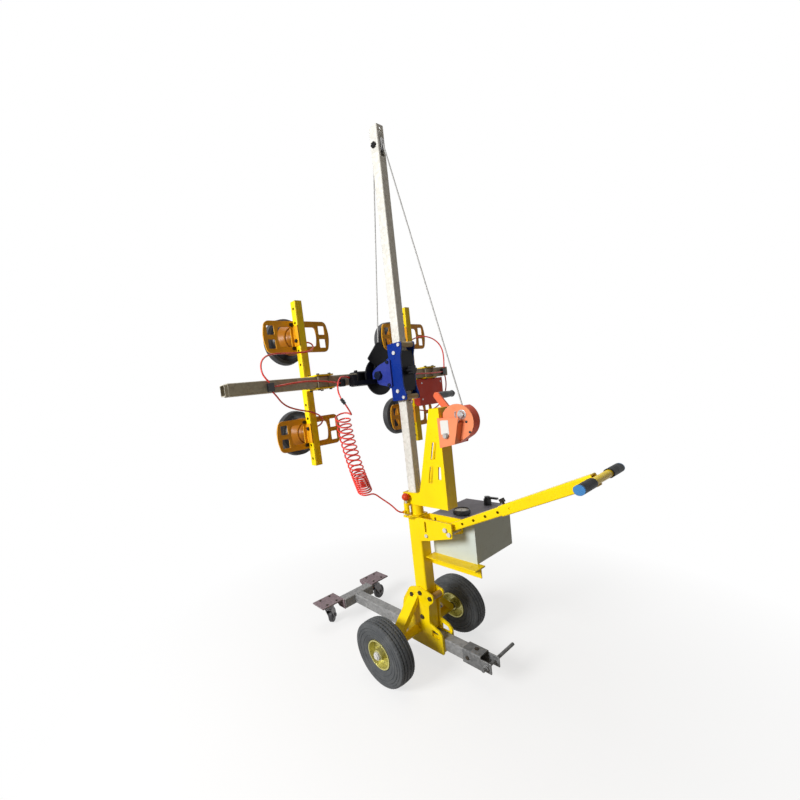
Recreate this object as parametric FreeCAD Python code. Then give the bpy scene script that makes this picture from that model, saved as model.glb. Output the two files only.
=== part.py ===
import FreeCAD, Part
import math
import os

# Glass panel lifter: a two-wheeled trolley with a swivelling mast, a hand winch
# and a tilting, turning beam that carries four vacuum cups.
# Millimetres. +X is the right-hand side, +Y is forward, +Z is up.
# The origin is on the floor below the mast's axis.

# Clearances
GAP = 0.3
FIT = 0.05
BOLT_CLEARANCE = 0.3

# Fasteners
BOLT_RADIUS = 4.0
HEAD_SPAN = 3.4
HEAD_HEIGHT = 1.3

# Pneumatic wheels
TYRE_RADIUS = 130.0
TYRE_WIDTH = 84.0
BEAD_RADIUS = 58.0
BEAD_HALF = 28.0
RIM_WALL = 5.0
RIM_LIP = 6.0
RIM_DISC = 6.0
HUB_RADIUS = 20.0
HUB_HALF = 36.0
RIM_BOLTS = 5
RIM_BOLT_CIRCLE = 38.0
HALF_TRACK = 245.0
AXLE_Y = 35.0
AXLE_RADIUS = 10.0
AXLE_TUBE_RADIUS = 17.0
AXLE_TUBE_END = 190.0

# Leg, crossbar and casters
LEG_SIZE = 50.0
LEG_WALL = 3.0
LEG_TOP = 132.0
LEG_REAR = -215.0
CROSSBAR_REAR = 459.0
CROSSBAR_HALF = 97.0
CASTER_PLATE_LENGTH = 135.0
CASTER_PLATE_REAR = 472.0
CASTER_PLATE_DEPTH = 91.0
CASTER_PLATE_THICKNESS = 6.0
CASTER_BOLT_SPAN = 60.0
CASTER_FLANGE_THICKNESS = 4.0
CASTER_RADIUS = 37.5
CASTER_WIDTH = 24.0
CASTER_TRAIL = 34.0
CASTER_AXLE_RADIUS = 5.0
FORK_WALL = 3.0
CASTER_TURN_LEFT = 38.0
CASTER_TURN_RIGHT = 12.0

# Base channel, cheeks and rear coupler
CHANNEL_WALL = 5.0
CHANNEL_REAR = -92.0
CHANNEL_FRONT = 74.0
CHEEK_THICKNESS = 8.0
STRUT_REAR = 12.0
STRUT_FRONT = 58.0
COUPLER_SIZE = 61.0
COUPLER_FRONT = -175.0
COUPLER_REAR = -250.0
FORK_REAR = -292.0
FORK_HEIGHT = 40.0
ROD_RADIUS = 6.0
ROD_Y = -275.0
ROD_NEAR = -56.0
ROD_FAR = 160.0

# Lower post and swivel
POST_SIZE = 60.0
POST_WALL = 4.0
POST_FOOT = 140.0
POST_TOP = 640.0
CAP_THICKNESS = 6.0
COLLAR_RADIUS = 26.0
SPINDLE_RADIUS = 18.0
SPINDLE_NUT = 11.0

# Swivel foot, winch tower and mast
FOOT_BOTTOM = 690.0
FOOT_TOP = 738.0
FOOT_PLATE = 10.0
FOOT_FRONT = 41.0
TOWER_PLATE = 5.0
TOWER_HALF = 30.0
TOWER_REAR = -176.0
TOWER_TOP = 1074.0
MAST_SIZE = 40.0
MAST_WALL = 3.0
MAST_TOP = 2164.0
SHEAVE_Z = 2097.0
SHEAVE_RADIUS = 25.0
SHEAVE_WIDTH = 12.0
SHEAVE_RIM = 3.5
SHEAVE_PIN = 6.0
ROPE_RADIUS = 2.5

# Index plunger beside the foot
PLUNGER_X = -46.0
PLUNGER_Y = 14.0
PLUNGER_SLEEVE = 11.0
PLUNGER_PIN = 6.0
PLUNGER_KNOB = 16.0
PLUNGER_DROP = 12.0
FOOT_FITTING = (-68.0, PLUNGER_Y, 664.0)
FOOT_NIPPLE = 6.5

# Hand winch
DRUM_Y = -236.0
DRUM_Z = 1022.0
WIND_RADIUS = 32.0
WIND_TURNS = 3
WIND_PITCH = 5.6
DRUM_NEAR = -5.0
DRUM_FAR = 22.0
DRUM_FLANGE = 43.0
SIDE_DISC_NEAR = -12.0
SIDE_DISC_THICKNESS = 3.0
CASING_PIN = (-258.0, 1048.0)
DRUM_FLANGE_THICKNESS = 3.0
DRUM_SHAFT = 8.0
WINCH_HALF = 38.0
WINCH_PLATE = 4.0
WINCH_BOTTOM = 932.0
WINCH_HEIGHT = 110.0
WINCH_SIDE_TOP = (-263.0, 1040.0)
WINCH_SIDE_FOOT = (-239.0, 945.0)
WINCH_FOLD = 3.0
WINCH_FOLD_START = 0.2
GUARD_RADIUS = 65.0
GUARD_WALL = 2.0
GUARD_FAR = 28.0
GUARD_START = 118.0
GUARD_END = 240.0
GUARD_TAIL = 42.0
MODULE = 2.0
GEAR_TEETH = 40
PINION_TEETH = 12
GEAR_WIDTH = 8.0
CRANK_Y = -209.0
CRANK_LENGTH = 182.0
CRANK_LEAN = 52.8
CRANK_BAR = 8.0
CRANK_HALF = 14.0
CRANK_NUT = 11.0
CRANK_GRIP_RADIUS = 14.0
CRANK_GRIP_LENGTH = 100.0

# Carriage
HEAD_Z = 1236.0
CARRIAGE_INNER = 34.0
CARRIAGE_PLATE = 6.0
CARRIAGE_HALF_HEIGHT = 114.0
ROLLER_RADIUS = 11.0
REAR_ROLLER_HALF = 103.0
FRONT_ROLLER_HALF = 46.0
PAD_HALF = 76.0
PAD_RADIUS = 13.0
COVER_THICKNESS = 4.0
COVER_REAR = -33.0
COVER_HALF_HEIGHT = 79.0
CHEEK_PLATE = 8.0
PIVOT_Y = 83.0
PIVOT_RADIUS = 10.0
CHEEK_ROUND = 38.0
TONGUE_Y = 112.0
TONGUE_THICKNESS = 6.0
TONGUE_RISE = 142.0
KNOB_RADIUS = 18.0
KNOB_STUD = 5.0
KNOB_DEPTH = 20.0
KNOB_STAND_OFF = 8.0
KNOB_LOBES = 6

# Tilting yoke, index disc and turning head
YOKE_HALF = 26.0
DISC_RADIUS = 81.0
DISC_REAR = 126.3
DISC_THICKNESS = 8.0
HEAD_SPINDLE = 16.0
HUB_OUTER = 34.0
BEAM_SIZE = 45.0
BEAM_WALL = 2.5
BEAM_REAR = 158.0
BEAM_LEFT = -686.0
BEAM_RIGHT = 523.0
BEAM_FIT = 0.2
SLEEVE_HALF = 102.0
SLEEVE_SIZE = 61.0
EXTENSION_OUT = 12.0
EXTENSION_IN = 380.0

# Suction arms, handle plates and cups
ARM_SIZE = 35.0
ARM_WALL = 2.5
ARM_HALF = 337.0
ARM_REAR = 231.0
ARM_LEFT = -304.0
ARM_RIGHT = 350.0
ARM_HOLES = 6
ARM_HOLE_PITCH = 56.0
ARM_HOLE_RADIUS = 5.5
CLAMP_PLATE = 6.0
CLAMP_INSIDE = 20.0
CLAMP_OUTSIDE = 62.0
CUP_OFFSET = 200.0
HANDLE_HALF_WIDTH = 165.0
HANDLE_HALF_HEIGHT = 64.0
HANDLE_THICKNESS = 6.0
CUP_RADIUS = 100.0
CUP_DEPTH = 34.0
DISH_RADIUS = 84.0
DISH_DEPTH = 80.0

# Vacuum box, shelf and what the box holds
BOX_NEAR = 44.0
BOX_WIDTH = 258.0
BOX_FRONT = -33.0
BOX_DEPTH = 196.0
BOX_BOTTOM = 466.0
BOX_HEIGHT = 166.0
BOX_WALL = 2.0
LID_THICKNESS = 3.0
LID_LIP = 12.0
SHELF_THICKNESS = 5.0
SHELF_NEAR = -12.0
SHELF_DROP = 35.0
SHELF_FLANGE = 22.0
SHELF_REAR = -254.0
BATTERY_SIZE = (98.0, 150.0, 96.0)
PUMP_RADIUS = 32.0
PUMP_LENGTH = 110.0
PUMP_BASE = 8.0
GAUGE_RADIUS = 32.0
GAUGE_HEIGHT = 22.0
VALVE_RADIUS = 15.0
VALVE_HEIGHT = 26.0
LEVER_LENGTH = 46.0

# Drawbar
BRACKET_THICKNESS = 6.0
BRACKET_TOP = 640.0
BRACKET_BOTTOM = 540.0
BRACKET_BOLT_PLACE = (-66.0, 570.0)
BRACKET_SLOT_Y = (-68.0, -60.0)
BRACKET_SLOT_Z = (584.0, 628.0)
DRAWBAR_PIVOT_Y = -158.0
DRAWBAR_PIVOT_Z = 612.0
DRAWBAR_RISE = 25.6
DRAWBAR_SIZE = 30.0
DRAWBAR_WALL = 3.0
DRAWBAR_LENGTH = 420.0
SLEEVE_START = 235.0
SLEEVE_WALL = 3.0
SLEEVE_END = 538.0
DRAWBAR_HOLES = 4
DRAWBAR_HOLE_PITCH = 52.0
DRAWBAR_HOLE_RADIUS = 5.0
HANDLE_RADIUS = 11.0
HANDLE_HALF = 139.0
GRIP_RADIUS = 14.0
GRIP_LENGTH = 78.0

# Vacuum hoses
HOSE_RADIUS = 3.2
COIL_RADIUS = 28.0
COIL_TURNS = 19.75
COIL_TOP = (-254.0, 104.0, 1095.0)
COIL_FOOT = (-194.0, 92.0, 775.0)
COIL_OPEN_PITCH = 22.0
COIL_TIGHT_PITCH = 8.9
COIL_OPEN_TURNS = 11.0
COIL_CHANGE = 1.5
COIL_BEND = 1.7
COIL_TURN_START = -20.0
END_GAP = 1.6

AXIS = {"x": FreeCAD.Vector(1, 0, 0), "y": FreeCAD.Vector(0, 1, 0), "z": FreeCAD.Vector(0, 0, 1)}


# Basic shapes

def point(axis, along, across):
    """A point given by its place along one axis and the pair across it."""
    first, second = across
    if axis == "x":
        return FreeCAD.Vector(along, first, second)
    if axis == "y":
        return FreeCAD.Vector(first, along, second)
    return FreeCAD.Vector(first, second, along)


def block(x, y, z):
    """A box between low and high values on each axis."""
    corner = FreeCAD.Vector(x[0], y[0], z[0])
    return Part.makeBox(x[1] - x[0], y[1] - y[0], z[1] - z[0], corner)


def rod(axis, centre, low, high, radius):
    return Part.makeCylinder(radius, high - low, point(axis, low, centre), AXIS[axis])


def ring(axis, centre, low, high, outer, inner):
    return rod(axis, centre, low, high, outer).cut(rod(axis, centre, low, high, inner))


def outline(corners, axis, along):
    """A closed wire through the corners, each given as a pair and an optional radius."""
    count = len(corners)
    places = [point(axis, along, corner[:2]) for corner in corners]
    starts = []
    middles = []
    ends = []
    for index, corner in enumerate(corners):
        here = places[index]
        before = places[index - 1] - here
        after = places[(index + 1) % count] - here
        before.normalize()
        after.normalize()
        radius = corner[2] if len(corner) > 2 else 0.0
        half = 0.5 * before.getAngle(after)
        reach = radius / math.tan(half)
        starts.append(here + before * reach)
        ends.append(here + after * reach)
        inward = before + after
        if radius > 0:
            inward.normalize()
        middles.append(here + inward * (radius / math.sin(half) - radius))
    edges = []
    for index, corner in enumerate(corners):
        if len(corner) > 2:
            edges.append(Part.Arc(starts[index], middles[index], ends[index]).toShape())
        following = (index + 1) % count
        if ends[index].distanceToPoint(starts[following]) > 1e-6:
            edges.append(Part.makeLine(ends[index], starts[following]))
    return Part.Wire(edges)


def plate(corners, axis, low, high):
    """A flat piece with the given outline across an axis."""
    face = Part.Face(outline(corners, axis, low))
    return face.extrude(AXIS[axis] * (high - low))


def square_corners(centre, size, radius):
    half = size / 2
    first, second = centre
    return [(first - half, second - half, radius), (first + half, second - half, radius),
            (first + half, second + half, radius), (first - half, second + half, radius)]


def square_tube(axis, centre, size, wall, low, high):
    """A square steel tube with rounded corners."""
    outer = plate(square_corners(centre, size, 1.6 * wall), axis, low, high)
    inner = plate(square_corners(centre, size - 2 * wall, 0.6 * wall), axis, low, high)
    return outer.cut(inner)


def hexagon(axis, centre, low, high, radius):
    corners = []
    for index in range(6):
        angle = math.radians(60 * index)
        corners.append((centre[0] + radius * math.cos(angle), centre[1] + radius * math.sin(angle)))
    return plate(corners, axis, low, high)


def bolt(axis, centre, low, high, radius):
    """A hexagon bolt and nut that clamp what lies between low and high."""
    span = HEAD_SPAN * radius / 2 * 1.1
    height = HEAD_HEIGHT * radius
    shank = rod(axis, centre, low, high, radius)
    head = hexagon(axis, centre, low - height, low, span)
    nut = hexagon(axis, centre, high, high + height, span)
    return shank.fuse([head, nut]).removeSplitter()


def drilled(shape, bolts):
    """The shape with a clearance hole for each bolt's shank."""
    for axis, centre, low, high, radius in bolts:
        shape = shape.cut(rod(axis, centre, low - 1, high + 1, radius + BOLT_CLEARANCE))
    return shape


def turned(axis, centre, profile):
    """A solid of revolution from pairs of place along the axis and radius."""
    across = [(centre[0], centre[1] + radius) for _, radius in profile]
    places = [point(axis, along, pair) for (along, _), pair in zip(profile, across)]
    wire = Part.makePolygon(places + places[:1])
    return Part.Face(wire).revolve(point(axis, 0, centre), AXIS[axis], 360)


def mirrored(shape):
    """The same piece on the other side of the mast's plane."""
    return shape.mirror(FreeCAD.Vector(0, 0, 0), AXIS["x"])


def both_sides(shape):
    return [shape, mirrored(shape)]


# Cords

def arc_middle(start, corner, end):
    """The middle of the arc that leaves start and reaches end tangent to lines from corner."""
    chord = (start + end) * 0.5
    reach = start.distanceToPoint(corner)
    half = start.distanceToPoint(end) / 2
    rise = math.sqrt(reach * reach - half * half)
    radius = reach * half / rise
    inward = chord - corner
    inward.normalize()
    return corner + inward * (math.sqrt(radius * radius + reach * reach) - radius), radius


def cord(points, radius, label):
    """A tube along straight runs joined by arcs as large as the runs allow."""
    places = [FreeCAD.Vector(*p) for p in points]
    edges = []
    radii = []
    here = places[0]
    for index in range(1, len(places) - 1):
        corner = places[index]
        before = places[index - 1] - corner
        after = places[index + 1] - corner
        reach = 0.45 * min(before.Length, after.Length)
        before.normalize()
        after.normalize()
        start = corner + before * reach
        end = corner + after * reach
        middle, bend = arc_middle(start, corner, end)
        radii.append(bend)
        edges.append(Part.makeLine(here, start))
        edges.append(Part.Arc(start, middle, end).toShape())
        here = end
    edges.append(Part.makeLine(here, places[-1]))
    path = Part.Wire(edges)
    tube = swept(path, radius, places[1] - places[0])
    share = tube.Volume / (math.pi * radius * radius * path.Length)
    print(label, "radii", [round(r) for r in radii], "volume share", round(share, 4))
    return tube


def swept(path, radius, direction):
    start = path.OrderedVertexes[0].Point
    section = Part.Wire(Part.Circle(start, direction, radius).toShape())
    return Part.Solid(path.makePipeShell([section], True, False))


def biarc(start, start_way, end, end_way):
    """Two arcs that join start to end and keep both directions."""
    step = end - start
    ways = start_way + end_way
    bend = 2 * (1 - start_way.dot(end_way))
    along = step.dot(ways)
    reach = (-along + math.sqrt(along * along + bend * step.dot(step))) / bend
    first = start + start_way * reach
    second = end - end_way * reach
    middle = (first + second) * 0.5
    one = Part.Arc(start, arc_middle(start, first, middle)[0], middle).toShape()
    two = Part.Arc(middle, arc_middle(middle, second, end)[0], end).toShape()
    return [one, two]


def winding(place, turns, radius, label):
    """One unbroken tube along place(turn), with straight ends one diameter long."""
    step = 1e-4

    def way(turn):
        direction = place(turn + step) - place(turn - step)
        direction.normalize()
        return direction

    lead = 2 * radius
    edges = [Part.makeLine(place(0) - way(0) * lead, place(0))]
    for quarter in range(round(4 * turns)):
        begin = quarter / 4
        end = begin + 0.25
        edges.extend(biarc(place(begin), way(begin), place(end), way(end)))
    edges.append(Part.makeLine(place(turns), place(turns) + way(turns) * lead))
    gaps = []
    for sample in range(int(24 * (turns - 1))):
        here = place(sample / 24)
        near = [here.distanceToPoint(place(sample / 24 + 1 + shift / 48)) for shift in range(-6, 7)]
        gaps.append(min(near) - 2 * radius)
    print(label, "least gap to itself", round(min(gaps), 2))
    return swept(Part.Wire(edges), radius, way(0)), edges[0].Vertexes[0].Point, edges[-1].Vertexes[1].Point


# Shared places

LEG_Z = LEG_TOP - LEG_SIZE / 2
CHANNEL_HALF = LEG_SIZE / 2 + CHANNEL_WALL
CHEEK_OUTER = POST_SIZE / 2 + CHEEK_THICKNESS
POST_HALF = POST_SIZE / 2
MAST_HALF = MAST_SIZE / 2
MAST_FOOT = FOOT_BOTTOM + FOOT_PLATE + SPINDLE_NUT + 5
BEAM_Y = BEAM_REAR + BEAM_SIZE / 2
BEAM_FRONT = BEAM_REAR + BEAM_SIZE
BEAM_TOP = HEAD_Z + BEAM_SIZE / 2
BEAM_BOTTOM = HEAD_Z - BEAM_SIZE / 2
SLEEVE_REAR = BEAM_Y - SLEEVE_SIZE / 2
ARM_FRONT = ARM_REAR + ARM_SIZE
ARM_Y = ARM_REAR + ARM_SIZE / 2
HANDLE_FRONT = ARM_FRONT + HANDLE_THICKNESS
LIP_Y = HANDLE_FRONT + DISH_DEPTH + CUP_DEPTH
CARRIAGE_OUTER = CARRIAGE_INNER + CARRIAGE_PLATE
ROLLER_Y = MAST_HALF + GAP + ROLLER_RADIUS
TONGUE_TOP = HEAD_Z + TONGUE_RISE
CASTER_X = CROSSBAR_HALF + CASTER_PLATE_LENGTH / 2
CASTER_Y = CASTER_PLATE_REAR + CASTER_PLATE_DEPTH / 2
CASTER_SEAT = LEG_TOP - CASTER_PLATE_THICKNESS
FORK_TOP = CASTER_SEAT - CASTER_FLANGE_THICKNESS - GAP
BOX_REAR = BOX_FRONT - BOX_DEPTH
BOX_FAR = BOX_NEAR + BOX_WIDTH
BOX_TOP = BOX_BOTTOM + BOX_HEIGHT
LID_TOP = BOX_TOP + LID_THICKNESS
GEAR_RADIUS = MODULE * GEAR_TEETH / 2
PINION_RADIUS = MODULE * PINION_TEETH / 2
GEAR_FACE = WINCH_HALF + WINCH_PLATE + 2
CRANK_Z = DRUM_Z - math.sqrt((GEAR_RADIUS + PINION_RADIUS) ** 2 - (CRANK_Y - DRUM_Y) ** 2)
CRANK_PLANE = GEAR_FACE + GEAR_WIDTH + 18
CRANK_END_Y = CRANK_Y + CRANK_LENGTH * math.cos(math.radians(CRANK_LEAN))
CRANK_END_Z = CRANK_Z + CRANK_LENGTH * math.sin(math.radians(CRANK_LEAN))

# Bolts that hold the frame, each as axis, centre, clamped length and radius
SPACER_FRONT = (46.0, 285.0)
SPACER_REAR = (-50.0, 297.0)
SPACER_RADIUS = 12.0
FRAME_BOLTS = [("x", SPACER_FRONT, -CHEEK_OUTER, CHEEK_OUTER, BOLT_RADIUS + 1),
               ("x", SPACER_REAR, -CHEEK_OUTER, CHEEK_OUTER, BOLT_RADIUS + 1),
               ("x", (0.0, 306.0), -CHEEK_OUTER, CHEEK_OUTER, BOLT_RADIUS + 1),
               ("x", (0.0, 200.0), -CHEEK_OUTER, CHEEK_OUTER, BOLT_RADIUS + 1)]
COUPLER_BOLTS = [("x", (COUPLER_FRONT - 22, LEG_Z), -COUPLER_SIZE / 2, COUPLER_SIZE / 2, BOLT_RADIUS),
                 ("z", (0.0, COUPLER_FRONT - 44), LEG_Z - COUPLER_SIZE / 2, LEG_Z + COUPLER_SIZE / 2, BOLT_RADIUS)]
BRACKET_OUTER = POST_HALF + BRACKET_THICKNESS
STOP_RADIUS = BOLT_RADIUS + 1
STOP_REACH = DRAWBAR_SIZE / 2 + STOP_RADIUS + GAP
STOP_BACK = 8.0
RISE_SIN = math.sin(math.radians(DRAWBAR_RISE))
RISE_COS = math.cos(math.radians(DRAWBAR_RISE))
STOP_PLACE = (DRAWBAR_PIVOT_Y - STOP_REACH * RISE_SIN - STOP_BACK * RISE_COS,
              DRAWBAR_PIVOT_Z - STOP_REACH * RISE_COS + STOP_BACK * RISE_SIN)
BRACKET_BOLTS = [("x", STOP_PLACE, -BRACKET_OUTER, BRACKET_OUTER, STOP_RADIUS),
                 ("x", BRACKET_BOLT_PLACE, -BRACKET_OUTER, BRACKET_OUTER, BOLT_RADIUS),
                 ("x", (DRAWBAR_PIVOT_Y, DRAWBAR_PIVOT_Z), -BRACKET_OUTER, BRACKET_OUTER, BOLT_RADIUS + 1)]


def caster_bolts():
    half = CASTER_BOLT_SPAN / 2
    low = CASTER_SEAT - CASTER_FLANGE_THICKNESS
    bolts = []
    for dx in (-half, half):
        for dy in (-half, half):
            bolts.append(("z", (CASTER_X + dx, CASTER_Y + dy), low, LEG_TOP, BOLT_RADIUS - 1))
    return bolts


# Trolley base

def leg_frame():
    coupler = COUPLER_BOLTS
    leg = drilled(square_tube("y", (0, LEG_Z), LEG_SIZE, LEG_WALL, LEG_REAR, CROSSBAR_REAR), coupler)
    cross_y = CROSSBAR_REAR + LEG_SIZE / 2
    crossbar = square_tube("x", (cross_y, LEG_Z), LEG_SIZE, LEG_WALL, -CROSSBAR_HALF, CROSSBAR_HALF)
    return [leg, crossbar]


def caster_brackets():
    """Bent plates on the crossbar's ends, with the casters' own flanges under them."""
    front = CASTER_PLATE_REAR + CASTER_PLATE_DEPTH
    outer = CROSSBAR_HALF + CASTER_PLATE_LENGTH
    top = block((CROSSBAR_HALF, outer), (CASTER_PLATE_REAR, front), (CASTER_SEAT, LEG_TOP))
    low = LEG_TOP - LEG_SIZE
    web_corners = [(CROSSBAR_REAR + 3, low), (CROSSBAR_REAR + LEG_SIZE, low), (front, CASTER_SEAT - 8),
                   (front, LEG_TOP), (CROSSBAR_REAR + 3, LEG_TOP)]
    web = plate(web_corners, "x", CROSSBAR_HALF, CROSSBAR_HALF + CASTER_PLATE_THICKNESS)
    bracket = drilled(top.fuse(web).removeSplitter(), caster_bolts())
    half = CASTER_BOLT_SPAN / 2 + 10
    flange_z = (CASTER_SEAT - CASTER_FLANGE_THICKNESS, CASTER_SEAT)
    flange = block((CASTER_X - half, CASTER_X + half), (CASTER_Y - half, CASTER_Y + half), flange_z)
    flange = drilled(flange, caster_bolts())
    return both_sides(bracket) + both_sides(flange)


def base_channel():
    low = LEG_TOP - LEG_SIZE - CHANNEL_WALL
    outer = block((-CHANNEL_HALF, CHANNEL_HALF), (CHANNEL_REAR, CHANNEL_FRONT), (low, LEG_TOP + CHANNEL_WALL))
    slot = block((-LEG_SIZE / 2, LEG_SIZE / 2), (CHANNEL_REAR, CHANNEL_FRONT),
                 (low + CHANNEL_WALL, LEG_TOP + CHANNEL_WALL))
    return [outer.cut(slot)]


def pivot_cheeks():
    """Two side plates that hold the channel and the foot of the post, with spacer tubes."""
    low = LEG_TOP - LEG_SIZE - 16
    corners = [(CHANNEL_FRONT, low, 8), (118, 166, 60), (98, 250, 60), (56, 316, 30), (4, 333, 40),
               (SPACER_REAR[0] - 16, SPACER_REAR[1] + 15, 14), (SPACER_REAR[0] - 14, SPACER_REAR[1] - 13, 12),
               (-40, 262, 10), (-34, 182, 8), (CHANNEL_REAR + 14, 164, 10), (CHANNEL_REAR, 148, 10),
               (CHANNEL_REAR, low, 6)]
    cheek = plate(corners, "x", CHANNEL_HALF, CHEEK_OUTER)
    window_corners = [(-42, 160, 6), (-72, 152, 6), (-82, 126, 5), (-42, 126, 5)]
    window = plate(window_corners, "x", CHANNEL_HALF - 1, CHEEK_OUTER + 1)
    cheek = drilled(cheek.cut(window), FRAME_BOLTS)
    spacers = []
    for centre in (SPACER_FRONT, SPACER_REAR):
        bore = BOLT_RADIUS + 1 + BOLT_CLEARANCE
        spacers.append(ring("x", centre, -CHANNEL_HALF, CHANNEL_HALF, SPACER_RADIUS, bore))
    return both_sides(cheek) + spacers


def axle_supports():
    """Stub axle tubes on the cheeks and the flat struts above them."""
    bore = AXLE_RADIUS + 0.2
    tube = ring("x", (AXLE_Y, TYRE_RADIUS), CHEEK_OUTER, AXLE_TUBE_END, AXLE_TUBE_RADIUS, bore)
    corners = [(CHEEK_OUTER, 292), (CHEEK_OUTER, 262), (AXLE_TUBE_END - 16, TYRE_RADIUS),
               (AXLE_TUBE_END, TYRE_RADIUS), (AXLE_TUBE_END, 152)]
    strut = plate(corners, "y", STRUT_REAR, STRUT_FRONT)
    strut = strut.cut(rod("x", (AXLE_Y, TYRE_RADIUS), 0, AXLE_TUBE_END + 1, AXLE_TUBE_RADIUS))
    room = SPACER_RADIUS
    notch_z = (SPACER_FRONT[1] - room, SPACER_FRONT[1] + room)
    strut = strut.cut(block((CHEEK_OUTER, CHEEK_OUTER + room), (SPACER_FRONT[0] - room, STRUT_FRONT), notch_z))
    return both_sides(tube) + both_sides(strut)


def rear_coupler():
    """A sleeve on the leg's rear end, with a fork and a cross rod."""
    wall = (COUPLER_SIZE - LEG_SIZE) / 2 - BEAM_FIT
    sleeve = square_tube("y", (0, LEG_Z), COUPLER_SIZE, wall, COUPLER_REAR, COUPLER_FRONT)
    half = COUPLER_SIZE / 2
    for low, high in ((-half, -half + wall), (half - wall, half)):
        ear_z = (LEG_Z - FORK_HEIGHT / 2, LEG_Z + FORK_HEIGHT / 2)
        sleeve = sleeve.fuse(block((low, high), (FORK_REAR, COUPLER_REAR + 4), ear_z))
    sleeve = drilled(sleeve.removeSplitter(), COUPLER_BOLTS)
    sleeve = sleeve.cut(rod("x", (ROD_Y, LEG_Z), -half - 1, half + 1, ROD_RADIUS + BOLT_CLEARANCE))
    nut_span = ROD_RADIUS * 1.8
    shank = rod("x", (ROD_Y, LEG_Z), ROD_NEAR, ROD_FAR, ROD_RADIUS)
    nuts = [hexagon("x", (ROD_Y, LEG_Z), half, half + 8, nut_span),
            hexagon("x", (ROD_Y, LEG_Z), -half - 8, -half, nut_span)]
    return [sleeve, shank.fuse(nuts).removeSplitter()]


def frame_fasteners():
    """Bolts of the base, and the two stub axles with their spacers and nuts."""
    bolts = [bolt(*spec) for spec in FRAME_BOLTS + COUPLER_BOLTS + BRACKET_BOLTS]
    for spec in caster_bolts():
        bolts.extend(both_sides(bolt(*spec)))
    centre = (AXLE_Y, TYRE_RADIUS)
    hub_in = HALF_TRACK - HUB_HALF
    hub_out = HALF_TRACK + HUB_HALF
    axle = rod("x", centre, AXLE_TUBE_END - 90, hub_out + 14, AXLE_RADIUS)
    spacer = rod("x", centre, AXLE_TUBE_END, hub_in - GAP, AXLE_RADIUS + 6)
    nut = hexagon("x", centre, hub_out + GAP, hub_out + 10, AXLE_RADIUS * 1.6)
    axle = axle.fuse([spacer, nut]).removeSplitter()
    return bolts + both_sides(axle)


def lower_post():
    """The square post, with a cap, thrust collar and swivel spindle on its top."""
    post = square_tube("z", (0, 0), POST_SIZE, POST_WALL, POST_FOOT, POST_TOP)
    post = drilled(post, FRAME_BOLTS)
    cap_top = POST_TOP + CAP_THICKNESS
    ledge = FOOT_BOTTOM - GAP
    spindle_top = FOOT_BOTTOM + FOOT_PLATE + SPINDLE_NUT
    nut_low = FOOT_BOTTOM + FOOT_PLATE + GAP
    profile = [(cap_top, 0), (cap_top, COLLAR_RADIUS), (ledge, COLLAR_RADIUS), (ledge, SPINDLE_RADIUS),
               (nut_low, SPINDLE_RADIUS), (nut_low, SPINDLE_RADIUS + 5), (spindle_top, SPINDLE_RADIUS + 5),
               (spindle_top, 0)]
    near = PLUNGER_X - PLUNGER_SLEEVE - 4
    cap_corners = [(near, PLUNGER_Y - 14, 8), (-POST_HALF, -POST_HALF, 4), (POST_HALF, -POST_HALF, 4),
                   (POST_HALF, POST_HALF, 4), (near, PLUNGER_Y + 14, 8)]
    cap = plate(cap_corners, "z", POST_TOP, cap_top)
    cap = cap.cut(rod("z", (PLUNGER_X, PLUNGER_Y), POST_TOP - 1, cap_top + 1, PLUNGER_PIN + FIT))
    return [post, cap, turned("z", (0, 0), profile)]


# Vacuum box, shelf and drawbar bracket

def box_shelf():
    low = BOX_BOTTOM - SHELF_THICKNESS
    strip_far = BOX_NEAR + 8
    strip = block((SHELF_NEAR, strip_far), (SHELF_REAR, -POST_HALF), (low, BOX_BOTTOM))
    under = block((strip_far, BOX_FAR - 10), (BOX_REAR + 12, -POST_HALF), (low, BOX_BOTTOM))
    drop = block((SHELF_FLANGE, SHELF_FLANGE + SHELF_THICKNESS), (SHELF_REAR, -POST_HALF),
                 (low - SHELF_DROP, low))
    return [strip.fuse([under, drop]).removeSplitter()]


def vacuum_box():
    outer = block((BOX_NEAR, BOX_FAR), (BOX_REAR, BOX_FRONT), (BOX_BOTTOM, BOX_TOP))
    inner = block((BOX_NEAR + BOX_WALL, BOX_FAR - BOX_WALL), (BOX_REAR + BOX_WALL, BOX_FRONT - BOX_WALL),
                  (BOX_BOTTOM + BOX_WALL, BOX_TOP))
    return [outer.cut(inner)]


def box_lid():
    """A lid that sits on the box and drops a lip inside it."""
    edge = BOX_WALL + GAP
    top = block((BOX_NEAR, BOX_FAR), (BOX_REAR, BOX_FRONT), (BOX_TOP, LID_TOP))
    lip_x = (BOX_NEAR + edge, BOX_FAR - edge)
    lip_y = (BOX_REAR + edge, BOX_FRONT - edge)
    lip = block(lip_x, lip_y, (BOX_TOP - LID_LIP, BOX_TOP))
    hollow = block((lip_x[0] + 2, lip_x[1] - 2), (lip_y[0] + 2, lip_y[1] - 2), (BOX_TOP - LID_LIP, BOX_TOP))
    return [top.fuse(lip.cut(hollow)).removeSplitter()]


GAUGE_X = BOX_NEAR + 52
GAUGE_Y = BOX_FRONT - 112
VALVE_X = BOX_NEAR + 215
VALVE_Y = BOX_FRONT - 128


def battery():
    width, depth, height = BATTERY_SIZE
    left = BOX_FAR - BOX_WALL - 16 - width
    rear = BOX_REAR + BOX_WALL + 20
    floor = BOX_BOTTOM + BOX_WALL
    case = block((left, left + width), (rear, rear + depth), (floor, floor + height))
    posts = []
    for dy in (30, depth - 30):
        posts.append(rod("z", (left + 22, rear + dy), floor + height, floor + height + 10, 6))
    return [case.fuse(posts).removeSplitter()]


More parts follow.
